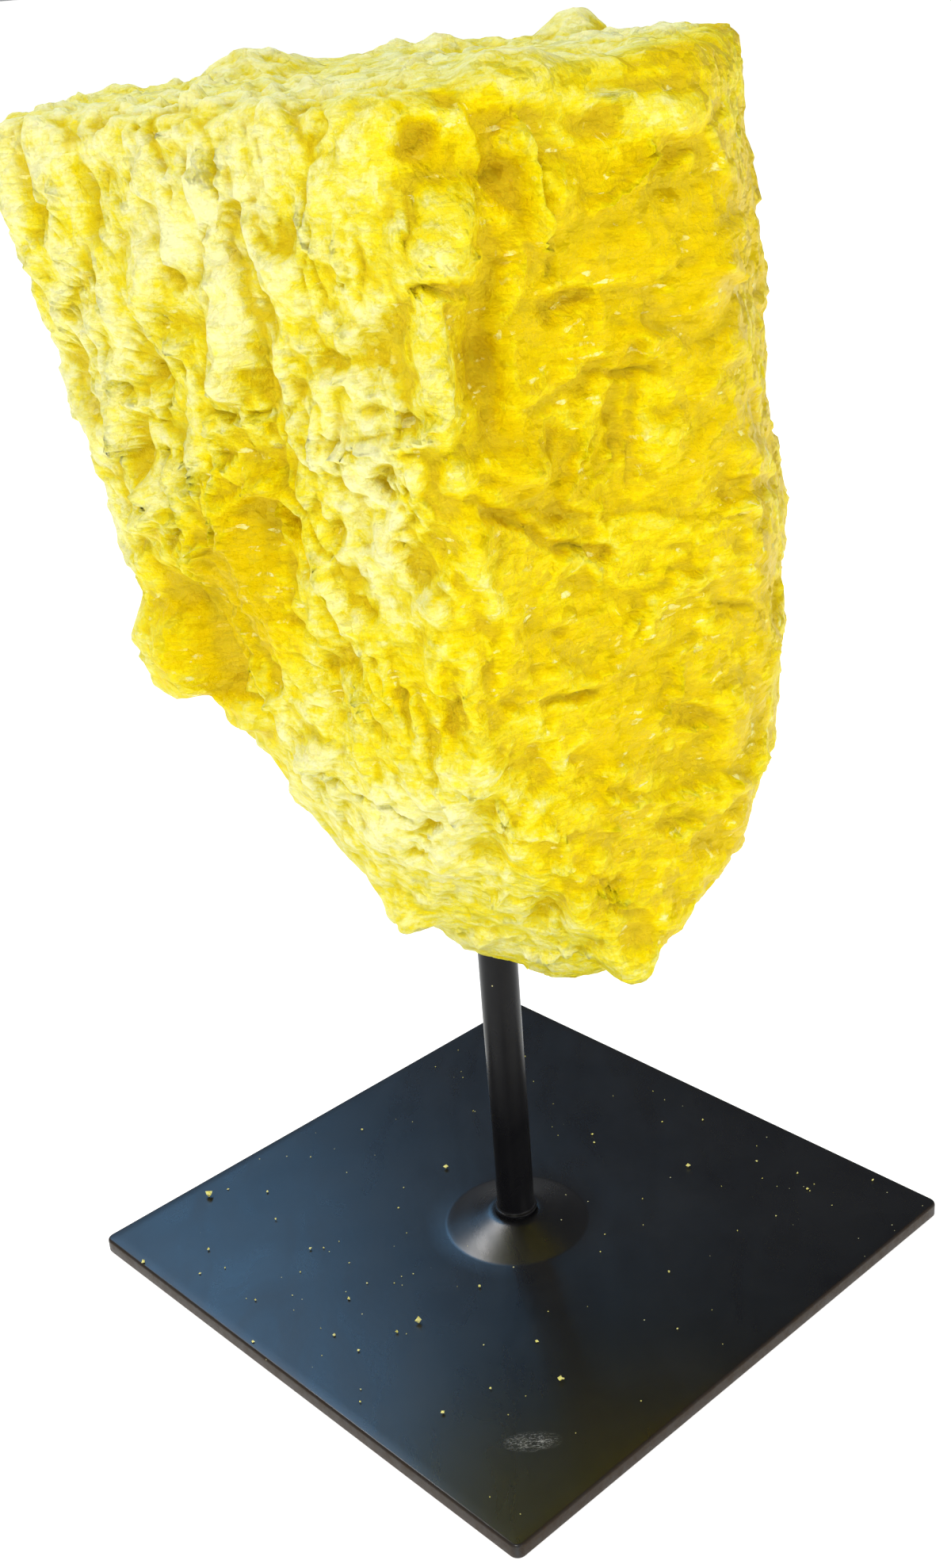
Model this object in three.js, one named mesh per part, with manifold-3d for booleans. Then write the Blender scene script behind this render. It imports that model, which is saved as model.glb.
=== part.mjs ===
// A rough mass of native sulfur held on a post above a thin square plate.
// Millimetres, +Z up. The origin is on the post's axis, in the plate's underside.
// -Y is the display side of the stone. The plate lies corner first towards it.
import * as THREE from 'three';
import { ImprovedNoise } from 'three/addons/math/ImprovedNoise.js';
import { mergeVertices } from 'three/addons/utils/BufferGeometryUtils.js';
import Module from 'manifold-3d';

const wasm = await Module();
wasm.setup();

// ---- Driving dimensions ----

const PLATE_SIDE = 101.6;
const PLATE_THICK = 2.6;
const PLATE_TURN = -48; // degrees from the display side to the plate's own sides
const PLATE_CORNER_R = 1.5;
const PLATE_EDGE_R = 0.35;

// The middle of the plate is pressed up into a shallow cone, so the screw head is clear of the table.
const CONE_FOOT_R = 12.2;
const CONE_TOP_R = 4.6;
const CONE_RISE = 2.4;

const POST_R = 3.175;
const POST_TOP_Z = 72;
const FOOT_RING_R = 3.6;
const FOOT_RING_TALL = 0.7;

const SCREW_SHANK_R = 2;
const SCREW_HEAD_R = 3.7;
const SCREW_HEAD_TALL = 1.4;
const SCREW_IN_POST = 7;
const HEX_KEY_R = 1.3;
const HEX_KEY_DEEP = 0.8;

const GAP = 0.3; // between pieces that touch

// The stone is laid out about its heart, a point on the post's axis.
const HEART_Z = 125;
const CORNER_SHARPNESS = 24;
const STONE_COLUMNS = 74;
const STONE_ROWS = 50;
const CAN_R = 40; // the can that spaces the rows: see rowRises
const CAN_TOP = 62;
const CAN_BOTTOM = -74;

// ---- The stone ----

// Broad broken faces: bearing, rise and distance from the heart.
// A bearing is 0 towards the display side and grows to the right, a rise is up from level.
const BROAD_FACES = [
  [-38, -6, 36], // left front
  [31, -4, 35], // right front
  [77, 5, 43.4], // right side
  [76, -9, 47.8], // and its lower part
  [-93, -7, 50], // left side
  [-57, -20, 38], // scarp under the left front
  [-25, -36, 45], // low front
  [-88, -36, 46.2], // low left
  [-110, -67, 64], // underside, left
  [71, -46, 63.2], // low right
  [60, -75, 78], // underside, right
  [-90, 87.7, 63.5], // top
  [-145, -8, 42], // back left
  [150, -6, 40], // back right
  [180, -40, 52], // low back
];

// A lump, or a hollow where tall is negative. across and up are its half widths on the face,
// turn tips it anticlockwise, and square goes from 0, a dome, to 1, a block with steep sides.
const lump = (bearing, rise, across, up, turn, tall, square = 0) => (
  { bearing, rise, across, up, turn, tall, square });

// A rib along a path of [bearing, rise] points. wideLeft and wideRight are its two flanks,
// seen from outside by someone walking along the path. A groove has a negative tall.
const rib = (path, wideLeft, wideRight, tall) => ({ path, wideLeft, wideRight, tall });

const LUMPS = [
  // skyline, from left to right
  lump(-81, 43, 5, 10, 0, 2.2, 0.3), // upper left corner
  lump(-83, 28, 7, 9, 0, -3.6), // nip below it
  lump(-120, 66, 13, 10, 0, 4), // left hump
  lump(-145, 56, 8, 8, 0, 3.2), // crest
  lump(-173, 60, 5, 5, 0, 2.2),
  lump(175, 66, 6, 6, 0, 2.2),
  lump(150, 57, 6, 7, 0, 3.6, 0.3), // highest knob
  lump(60, 70, 9, 7, 20, -3.5), // bright terrace between the rims
  lump(12, 62, 9, 6, 0, 2), // front dome
  lump(42, 55, 8, 4, 0, 2.5, 0.3), // shoulder over the right front
  // left front, upper half
  lump(-77, 45, 2.6, 8, 5, -3),
  lump(-68, 47, 2.2, 7, 0, -2.5),
  lump(-41, 52, 3.2, 6, 0, 2.6, 0.3), // long knob
  lump(-59, 44, 6, 6, 0, 2.2),
  lump(-43, 41, 4.8, 7.5, -18, 3.2, 0.2), // pointed knob
  lump(-66, 35, 4, 5, 0, -2),
  lump(-28, 46, 5, 6, 0, 1.6),
  lump(-28, 36, 3, 5, 0, -1.6),
  // the middle pillar and what frames it
  lump(-3, 51, 3.6, 3, 0, -3.4, 0.4), // deep pit
  lump(7, 53, 4.5, 3.2, 0, 2, 0.3),
  lump(-1, 46, 6, 7, 0, 2.8, 0.5), // capital
  lump(-4, 35, 3.6, 9, 3, 3, 0.5), // pillar
  lump(-10, 40, 4, 9, 0, -1.8),
  lump(5, 37, 3.4, 11, 4, -2.6), // deep groove on its right
  lump(17, 52, 4.6, 6, 25, 3.8, 0.1), // fin
  lump(9, 25, 6.5, 4.5, 0, 2.4, 0.5), // square block
  lump(-14, 24, 2.4, 3, 0, -2.4, 0.3), // round eye
  // left front, lower half
  lump(-44, 14, 7, 8, -20, -3.4, 0.3), // scoop
  lump(-40, -8, 5, 11, 15, -1.6),
  lump(-68, 17, 2.4, 7, 0, 2.4, 0.2), // wedge
  lump(-56, 27, 5, 4, 0, 1.6),
  lump(-87, -17, 10, 10, 0, 6, 0.7), // heel that juts out over the scarp
  lump(-76, -32, 7, 4.5, 0, 4, 0.6), // and its lower step
  lump(-51, -38, 3.6, 3, 0, 1.6),
  lump(-90, 2, 9, 11, 0, 1.6, 0.2), // side above the heel
  lump(-80, 24, 5, 5, 0, -2),
  lump(-83, 31, 3, 3, 0, 1.2),
  // right front
  lump(34, 18, 14, 22, 10, -2.4), // broad hollow
  lump(52, 42, 7, 9, 0, 1.6),
  lump(24, 32, 5, 5, 0, 1.4),
  lump(64, 12, 4, 4, 0, 1.4, 0.6), // step near the right edge
  lump(51, -27, 4, 4, 0, -1.6),
  lump(40, -12, 7, 5, -20, 1.6),
  lump(64, -40, 6, 7, 0, 1),
  // low front
  lump(-52, -73, 5, 6, 0, 3.4, 0.2),
  lump(42, -65, 6, 5, 0, 4, 0.3),
  lump(2, -52, 6, 5, 0, -1.4),
  // right side and back
  lump(96, 42, 9, 9, 0, -3),
  lump(100, 15, 9, 12, 10, -2),
  lump(120, -10, 10, 12, 0, 2.4, 0.2),
  lump(150, 30, 12, 9, -25, 2.6, 0.3),
  lump(165, 0, 9, 16, 20, -3),
  lump(-165, 22, 11, 8, 15, 2.4, 0.2),
  lump(-150, -8, 8, 11, 0, -2.4),
  lump(-120, 20, 8, 15, 10, 2.4, 0.3),
  lump(-125, -30, 9, 8, 0, 2),
  lump(175, -38, 12, 8, 0, 2.2, 0.2),
];

const RIBS = [
  rib([[-1, 48], [-3, 33], [1, 19], [6, -3], [-2, -28]], 5, 3, 1.6), // ridge between the front faces
  rib([[-67, 6], [-63, -4], [-51, -38]], 3, 4, 2), // edge of the scarp
  rib([[-43, 24], [-33, 18], [-21, -7], [-13, -36]], 3.5, 3.5, 1.8),
  rib([[-36, 50], [-36, 36], [-33, 22]], 2.5, 3, -2), // crack beside the pointed knob
  rib([[36, 39], [33, 32], [36, 26]], 2, 3, -1.6), // crack in the right front
  rib([[4, 25], [14, 21], [27, 12]], 2.5, 2.5, -2), // ledge under the square block
];

const CRUST_SIZES = [[9, 1], [4.6, 0.5]]; // grain size and height of the crust's roughness

const degrees = THREE.MathUtils.degToRad;

function directionOf(bearing, rise) {
  const b = degrees(bearing);
  const r = degrees(rise);
  return new THREE.Vector3(Math.sin(b) * Math.cos(r), -Math.cos(b) * Math.cos(r), Math.sin(r));
}

const FACE_PLANES = BROAD_FACES.map(([bearing, rise, distance]) => (
  { normal: directionOf(bearing, rise), distance }));

// The point where a ray from the heart leaves the block that the broad faces enclose,
// with its corners rounded, and the way out of the block there.
function blockPoint(ray) {
  const shares = FACE_PLANES.map((f) => Math.max(f.normal.dot(ray) / f.distance, 0));
  const sum = shares.reduce((total, s) => total + s ** CORNER_SHARPNESS, 0);
  const point = ray.clone().multiplyScalar(sum ** (-1 / CORNER_SHARPNESS));
  const out = new THREE.Vector3();
  const softness = 7;
  FACE_PLANES.forEach((f, i) => {
    out.addScaledVector(f.normal, shares[i] ** softness / f.distance);
  });
  return { point, out: out.normalize() };
}

function smoothStep(t) {
  const clamped = THREE.MathUtils.clamp(t, 0, 1);
  return clamped * clamped * (3 - 2 * clamped);
}

// A lump's own axes lie in the face that it stands on.
function settle(shape) {
  const { point, out } = blockPoint(directionOf(shape.bearing, shape.rise));
  const b = degrees(shape.bearing);
  const level = new THREE.Vector3(Math.cos(b), Math.sin(b), 0);
  const right = level.addScaledVector(out, -level.dot(out)).normalize();
  const up = new THREE.Vector3().crossVectors(out, right);
  const turn = degrees(shape.turn);
  const across = right.clone().multiplyScalar(Math.cos(turn)).addScaledVector(up, Math.sin(turn));
  const along = right.clone().multiplyScalar(-Math.sin(turn)).addScaledVector(up, Math.cos(turn));
  return { ...shape, centre: point, out, across3: across, along3: along };
}

const SETTLED = LUMPS.map(settle);

function lumpHeight(at, l) {
  const offset = at.clone().sub(l.centre);
  const power = 2 + 2 * l.square;
  const u = Math.abs(offset.dot(l.across3) / l.across) ** power;
  const v = Math.abs(offset.dot(l.along3) / l.up) ** power;
  const depth = Math.abs(offset.dot(l.out)) / Math.max(l.across, l.up);
  const reach = Math.hypot((u + v) ** (1 / power), Math.max(depth - 1, 0));
  return l.tall * smoothStep((1 - reach) / (1 - 0.7 * l.square));
}

function ribHeight(at, r) {
  const stops = r.path.map(([bearing, rise]) => blockPoint(directionOf(bearing, rise)).point);
  let most = 0;
  for (let i = 0; i + 1 < stops.length; i += 1) {
    const run = new THREE.Vector3().subVectors(stops[i + 1], stops[i]);
    const length = run.length();
    run.divideScalar(length);
    const out = stops[i].clone().add(stops[i + 1]).normalize();
    const side = new THREE.Vector3().crossVectors(run, out);
    const offset = at.clone().sub(stops[i]);
    const foot = THREE.MathUtils.clamp(offset.dot(run), 0, length);
    const away = offset.clone().addScaledVector(run, -foot);
    const wide = away.dot(side) > 0 ? r.wideRight : r.wideLeft;
    most = Math.max(most, smoothStep(1 - away.length() / wide));
  }
  return r.tall * most;
}

const noise = new ImprovedNoise();

function crustHeight(at) {
  return CRUST_SIZES.reduce((total, [size, tall]) => (
    total + tall * noise.noise(at.x / size, at.y / size, at.z / size)), 0);
}

function stonePoint(ray) {
  const { point, out } = blockPoint(ray);
  let tall = crustHeight(point);
  SETTLED.forEach((l) => {
    tall += lumpHeight(point, l);
  });
  RIBS.forEach((r) => {
    tall += ribHeight(point, r);
  });
  return point.addScaledVector(out, tall).add(new THREE.Vector3(0, 0, HEART_Z));
}

// The rises of the rows between the two poles. They are evenly spaced down the outline
// of a can round the heart: out across its lid, down its side and in across its base.
function rowRises() {
  const outline = 2 * CAN_R + CAN_TOP - CAN_BOTTOM;
  return Array.from({ length: STONE_ROWS }, (_, row) => {
    const s = (outline * (row + 1)) / (STONE_ROWS + 1);
    const radius = Math.min(s, CAN_R, outline - s);
    const height = THREE.MathUtils.clamp(CAN_TOP + CAN_R - s, CAN_BOTTOM, CAN_TOP);
    return THREE.MathUtils.radToDeg(Math.atan2(height, radius));
  });
}

// One closed skin: rings of points from the top pole to the bottom one.
function stoneSkin() {
  const points = [stonePoint(directionOf(0, 90))];
  rowRises().forEach((rise) => {
    for (let column = 0; column < STONE_COLUMNS; column += 1) {
      points.push(stonePoint(directionOf((360 * column) / STONE_COLUMNS, rise)));
    }
  });
  points.push(stonePoint(directionOf(0, -90)));
  const at = (row, column) => 1 + row * STONE_COLUMNS + (column % STONE_COLUMNS);
  const faces = [];
  for (let column = 0; column < STONE_COLUMNS; column += 1) {
    faces.push(0, at(0, column), at(0, column + 1));
    for (let row = 0; row + 1 < STONE_ROWS; row += 1) {
      faces.push(at(row, column), at(row + 1, column), at(row + 1, column + 1));
      faces.push(at(row, column), at(row + 1, column + 1), at(row, column + 1));
    }
    faces.push(points.length - 1, at(STONE_ROWS - 1, column + 1), at(STONE_ROWS - 1, column));
  }
  const geometry = new THREE.BufferGeometry().setFromPoints(points);
  geometry.setIndex(faces);
  return geometry;
}

// ---- Solids ----

function solidOf(geometry) {
  const bare = geometry.clone();
  bare.deleteAttribute('normal');
  bare.deleteAttribute('uv');
  const merged = mergeVertices(bare, 1e-4);
  return new wasm.Manifold(new wasm.Mesh({
    numProp: 3,
    vertProperties: merged.attributes.position.array,
    triVerts: new Uint32Array(merged.index.array),
  }));
}

function geometryOf(solid) {
  const { vertProperties, triVerts } = solid.getMesh();
  const geometry = new THREE.BufferGeometry();
  geometry.setAttribute('position', new THREE.BufferAttribute(vertProperties, 3));
  geometry.setIndex(new THREE.BufferAttribute(triVerts, 1));
  geometry.computeVertexNormals();
  return geometry;
}

// A solid of revolution about the post's axis, from [radius, height] points that start
// and end on the axis, bottom first.
function turned(profile, sides = 40) {
  const lathe = new THREE.LatheGeometry(profile.map(([r, z]) => new THREE.Vector2(r, z)), sides);
  lathe.rotateX(Math.PI / 2);
  return solidOf(lathe);
}

// ---- Pieces ----

const CONE_TOP_Z = PLATE_THICK + CONE_RISE;
const POST_FOOT_Z = CONE_TOP_Z + GAP;
const TAPPED_TOP_Z = POST_FOOT_Z + SCREW_IN_POST + 1;

function specimen() {
  const boreR = POST_R + GAP;
  const bore = turned([[0, 0], [boreR, 0], [boreR, POST_TOP_Z + GAP], [0, POST_TOP_Z + GAP]], 32);
  return geometryOf(solidOf(stoneSkin()).subtract(bore));
}

function post() {
  const tappedR = SCREW_SHANK_R + GAP;
  const bar = turned([
    [0, POST_FOOT_Z],
    [FOOT_RING_R - 0.2, POST_FOOT_Z],
    [FOOT_RING_R, POST_FOOT_Z + 0.2],
    [FOOT_RING_R, POST_FOOT_Z + FOOT_RING_TALL - 0.2],
    [POST_R, POST_FOOT_Z + FOOT_RING_TALL],
    [POST_R, POST_TOP_Z - 0.5],
    [POST_R - 0.5, POST_TOP_Z],
    [0, POST_TOP_Z],
  ]);
  const tapped = turned([
    [0, CONE_TOP_Z - 1],
    [tappedR, CONE_TOP_Z - 1],
    [tappedR, TAPPED_TOP_Z],
    [0, TAPPED_TOP_Z + 1.2],
  ], 24);
  return geometryOf(bar.subtract(tapped));
}

function plateOutline() {
  const half = PLATE_SIDE / 2 - PLATE_EDGE_R;
  const r = PLATE_CORNER_R;
  const shape = new THREE.Shape();
  shape.absarc(half - r, half - r, r, 0, Math.PI / 2);
  shape.absarc(r - half, half - r, r, Math.PI / 2, Math.PI);
  shape.absarc(r - half, r - half, r, Math.PI, 1.5 * Math.PI);
  shape.absarc(half - r, r - half, r, 1.5 * Math.PI, 2 * Math.PI);
  return shape;
}

function basePlate() {
  const sheet = new THREE.ExtrudeGeometry(plateOutline(), {
    depth: PLATE_THICK - 2 * PLATE_EDGE_R,
    curveSegments: 5,
    bevelThickness: PLATE_EDGE_R,
    bevelSize: PLATE_EDGE_R,
    bevelSegments: 2,
  });
  sheet.translate(0, 0, PLATE_EDGE_R);
  const cone = turned([
    [0, 1],
    [CONE_FOOT_R, 1],
    [CONE_FOOT_R, PLATE_THICK],
    [CONE_TOP_R + 0.6, CONE_TOP_Z - 0.15],
    [CONE_TOP_R, CONE_TOP_Z],
    [0, CONE_TOP_Z],
  ]);
  const hollow = turned([
    [0, -1],
    [CONE_FOOT_R, -1],
    [CONE_FOOT_R - 0.3, 0],
    [CONE_TOP_R, CONE_RISE],
    [0, CONE_RISE],
  ]);
  const holeR = SCREW_SHANK_R + GAP;
  const hole = turned([[0, 1], [holeR, 1], [holeR, CONE_TOP_Z + 1], [0, CONE_TOP_Z + 1]], 24);
  return geometryOf(solidOf(sheet).add(cone).subtract(hollow).subtract(hole));
}

// A low head with a six-sided socket, in the hollow under the plate, and a shank up into the post.
function screw() {
  const headTop = CONE_RISE - GAP;
  const headBottom = headTop - SCREW_HEAD_TALL;
  const body = turned([
    [0, headBottom],
    [SCREW_HEAD_R - 0.6, headBottom],
    [SCREW_HEAD_R, headBottom + 0.6],
    [SCREW_HEAD_R, headTop],
    [SCREW_SHANK_R, headTop],
    [SCREW_SHANK_R, POST_FOOT_Z + SCREW_IN_POST - 0.5],
    [SCREW_SHANK_R - 0.5, POST_FOOT_Z + SCREW_IN_POST],
    [0, POST_FOOT_Z + SCREW_IN_POST],
  ], 32);
  const socketTop = headBottom + HEX_KEY_DEEP;
  const socket = turned([
    [0, headBottom - 1],
    [HEX_KEY_R, headBottom - 1],
    [HEX_KEY_R, socketTop],
    [0, socketTop],
  ], 6);
  return geometryOf(body.subtract(socket));
}

// ---- The object ----

const sulfur = new THREE.MeshStandardMaterial({ color: 0xf3df3c, roughness: 0.5, metalness: 0 });
const blackPaint = new THREE.MeshStandardMaterial({ color: 0x0c0c0e, roughness: 0.4, metalness: 0 });
const zincSteel = new THREE.MeshStandardMaterial({ color: 0x9a9ca0, roughness: 0.35, metalness: 1 });

const object = new THREE.Group();

function addPiece(parent, name, geometry, material) {
  const mesh = new THREE.Mesh(geometry, material);
  mesh.name = name;
  parent.add(mesh);
}

const stand = new THREE.Group();
stand.rotation.z = degrees(PLATE_TURN);
addPiece(stand, 'base_plate', basePlate(), blackPaint);
addPiece(stand, 'post', post(), blackPaint);
addPiece(stand, 'post_screw', screw(), zincSteel);
object.add(stand);
addPiece(object, 'sulfur_specimen', specimen(), sulfur);

export default object;
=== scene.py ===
"""A rough mass of native sulfur on its black stand: the finish of every surface.

Shapes are worked out in millimetres in the frame's own axes, and turned into metres
when they become meshes. +Z is up, -Y is the display side, +X is to the viewer's right.
"""
import math

import bpy
import numpy as np
from mathutils import Matrix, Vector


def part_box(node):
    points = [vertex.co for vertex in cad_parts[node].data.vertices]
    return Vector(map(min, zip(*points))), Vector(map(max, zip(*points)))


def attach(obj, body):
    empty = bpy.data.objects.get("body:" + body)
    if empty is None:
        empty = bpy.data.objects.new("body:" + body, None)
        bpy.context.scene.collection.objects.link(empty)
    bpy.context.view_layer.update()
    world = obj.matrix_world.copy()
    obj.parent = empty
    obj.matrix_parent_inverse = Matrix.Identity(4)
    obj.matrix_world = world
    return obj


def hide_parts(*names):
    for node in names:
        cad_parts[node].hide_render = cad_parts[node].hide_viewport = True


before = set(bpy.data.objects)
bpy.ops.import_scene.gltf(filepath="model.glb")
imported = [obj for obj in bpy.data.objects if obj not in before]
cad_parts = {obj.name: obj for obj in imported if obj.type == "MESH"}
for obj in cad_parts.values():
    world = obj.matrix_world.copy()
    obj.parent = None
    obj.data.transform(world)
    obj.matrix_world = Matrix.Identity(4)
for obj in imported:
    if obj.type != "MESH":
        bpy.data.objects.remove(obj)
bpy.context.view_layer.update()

MM = 0.001

# ---- the frame's own sizes

plate_high = np.array(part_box("base_plate")[1]) / MM
post_low, post_high = (np.array(corner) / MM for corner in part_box("post"))

PLATE_SIDE = 101.6
PLATE_TURN = math.radians(-48)
PLATE_THICK = 2.6
CONE_FOOT_R = 12.2
CONE_TOP_R = 4.6
CONE_TOP_Z = plate_high[2]
PLATE_CORNER_R = 1.5
PLATE_EDGE_R = 0.45
ROUND_OUT_R = 16
POST_R = 3.175
FOOT_RING_R = 3.6
SCREW_HOLE_R = 2.3
TAPPED_TOP_Z = 13.3
HEART = np.array([0.0, 0.0, 125.0])
BORE_R = 3.475
BORE_TOP_Z = 72.3

# Where the display side is seen from, and how far down and round the eye is turned.
EYE = np.array([-1.44, -258.54, 201.54])
TILT = math.radians(24.25)
ROLL = math.radians(-4.37)


# ---- scattered numbers and grains

def scatter(ix, iy, iz, seed):
    """A number from 0 to 1 for every whole-number place: its three numbers are mixed by
    large odd multipliers and shifts, so that neighbours have nothing in common."""
    mask = np.int64(0xFFFFFFFF)
    h = (ix * 374761393 + iy * 668265263 + iz * 1440662683 + seed * 974711) & mask
    h = ((h ^ (h >> 13)) * 1274126177) & mask
    h = ((h ^ (h >> 15)) * 2246822519) & mask
    return ((h ^ (h >> 16)) & mask) / 4294967296.0


def grain(points, size, seed):
    """Smooth noise from about -1 to 1. Each corner of a grid of cubes of the given size has
    a random slope, and the eight slopes round a point are blended with a quintic curve."""
    p = points / size
    base = np.floor(p).astype(np.int64)
    f = p - base
    w = f * f * f * (f * (f * 6 - 15) + 10)
    total = np.zeros(p.shape[:-1])
    for cx, cy, cz in np.ndindex(2, 2, 2):
        ix, iy, iz = base[..., 0] + cx, base[..., 1] + cy, base[..., 2] + cz
        slope = sum((scatter(ix, iy, iz, seed + 7 * k) * 2 - 1) * (f[..., k] - corner)
                    for k, corner in enumerate((cx, cy, cz)))
        share = 1.0
        for k, corner in enumerate((cx, cy, cz)):
            share = share * (w[..., k] if corner else 1 - w[..., k])
        total = total + share * slope
    return total * 1.4


def smooth_step(t):
    """0 below 0, 1 above 1, and an S curve between."""
    t = np.clip(t, 0, 1)
    return t * t * (3 - 2 * t)


# ---- the stone's shape

# Broad broken faces: bearing, rise and distance from the heart. A bearing is 0 towards the
# display side and grows to the right, and a rise is up from level. Angles are in degrees.
BROAD_FACES = (
    (-38, -6, 36),  # left front
    (31, -4, 35),  # right front
    (77, 5, 43.4),  # right side
    (76, -9, 47.8),  # and its lower part
    (-93, -7, 50),  # left side
    (-57, -20, 38),  # scarp under the left front
    (-25, -36, 45),  # low front
    (-88, -36, 46.2),  # low left
    (-110, -67, 64),  # underside, left
    (71, -46, 63.2),  # low right
    (60, -75, 78),  # underside, right
    (-90, 87.7, 63.5),  # top
    (-145, -8, 42),  # back left
    (150, -6, 40),  # back right
    (180, -40, 52),  # low back
)
CORNER_SHARPNESS = 24

# Lumps, and hollows where tall is negative: bearing, rise, half width across and up on the
# face and tall. Then, where they aren't 0, come an anticlockwise turn in degrees, and square,
# which goes from 0, a dome, to 1, a block with steep sides.
LUMPS = (
    # skyline, from left to right
    (-81, 43, 5, 10, 2.2, 0, 0.3),  # upper left corner
    (-83, 28, 7, 9, -3.6),  # nip below it
    (-120, 66, 13, 10, 4),  # left hump
    (-145, 56, 8, 8, 3.2),  # crest
    (-173, 60, 5, 5, 2.2), (175, 66, 6, 6, 2.2),
    (150, 57, 6, 7, 3.6, 0, 0.3),  # highest knob
    (60, 70, 9, 7, -3.5, 20),  # bright terrace between the rims
    (12, 62, 9, 6, 2),  # front dome
    (42, 55, 8, 4, 2.5, 0, 0.3),  # shoulder over the right front
    # left front, upper half
    (-77, 45, 2.6, 8, -3, 5), (-68, 47, 2.2, 7, -2.5),
    (-41, 52, 3.2, 6, 2.6, 0, 0.3),  # long knob
    (-59, 44, 6, 6, 2.2),
    (-43, 41, 4.8, 7.5, 3.2, -18, 0.2),  # pointed knob
    (-66, 35, 4, 5, -2), (-28, 46, 5, 6, 1.6), (-28, 36, 3, 5, -1.6),
    # the middle pillar and what frames it
    (-3, 51, 3.6, 3, -3.4, 0, 0.4),  # deep pit
    (7, 53, 4.5, 3.2, 2, 0, 0.3),
    (-1, 46, 6, 7, 2.8, 0, 0.5),  # capital
    (-4, 35, 3.6, 9, 3, 3, 0.5),  # pillar
    (-10, 40, 4, 9, -1.8),
    (5, 37, 3.4, 11, -2.6, 4),  # deep groove on its right
    (17, 52, 4.6, 6, 3.8, 25, 0.1),  # fin
    (9, 25, 6.5, 4.5, 2.4, 0, 0.5),  # square block
    (-14, 24, 2.4, 3, -2.4, 0, 0.3),  # round eye
    # left front, lower half
    (-44, 14, 7, 8, -3.4, -20, 0.3),  # scoop
    (-40, -8, 5, 11, -1.6, 15),
    (-68, 17, 2.4, 7, 2.4, 0, 0.2),  # wedge
    (-56, 27, 5, 4, 1.6),
    (-87, -17, 10, 10, 6, 0, 0.7),  # heel that juts out over the scarp
    (-76, -32, 7, 4.5, 4, 0, 0.6),  # and its lower step
    (-51, -38, 3.6, 3, 1.6),
    (-90, 2, 9, 11, 1.6, 0, 0.2),  # side above the heel
    (-80, 24, 5, 5, -2), (-83, 31, 3, 3, 1.2),
    # right front
    (34, 18, 14, 22, -2.4, 10),  # broad hollow
    (52, 42, 7, 9, 1.6), (24, 32, 5, 5, 1.4),
    (64, 12, 4, 4, 1.4, 0, 0.6),  # step near the right edge
    (51, -27, 4, 4, -1.6), (40, -12, 7, 5, 1.6, -20), (64, -40, 6, 7, 1),
    # low front
    (-52, -73, 5, 6, 3.4, 0, 0.2), (42, -65, 6, 5, 4, 0, 0.3), (2, -52, 6, 5, -1.4),
    # right side and back
    (96, 42, 9, 9, -3), (100, 15, 9, 12, -2, 10), (120, -10, 10, 12, 2.4, 0, 0.2),
    (150, 30, 12, 9, 2.6, -25, 0.3), (165, 0, 9, 16, -3, 20), (-165, 22, 11, 8, 2.4, 15, 0.2),
    (-150, -8, 8, 11, -2.4), (-120, 20, 8, 15, 2.4, 10, 0.3), (-125, -30, 9, 8, 2),
    (175, -38, 12, 8, 2.2, 0, 0.2),
)

# Ribs, and grooves where tall is negative: a path of (bearing, rise) points, the widths of
# the flanks on its left and right, and tall.
RIBS = (
    (((-1, 48), (-3, 33), (1, 19), (6, -3), (-2, -28)), 5, 3, 1.6),  # ridge between the front faces
    (((-67, 6), (-63, -4), (-51, -38)), 3, 4, 2),  # edge of the scarp
    (((-43, 24), (-33, 18), (-21, -7), (-13, -36)), 3.5, 3.5, 1.8),
    (((-36, 50), (-36, 36), (-33, 22)), 2.5, 3, -2),  # crack beside the pointed knob
    (((36, 39), (33, 32), (36, 26)), 2, 3, -1.6),  # crack in the right front
    (((4, 25), (14, 21), (27, 12)), 2.5, 2.5, -2),  # ledge under the square block
)

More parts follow.
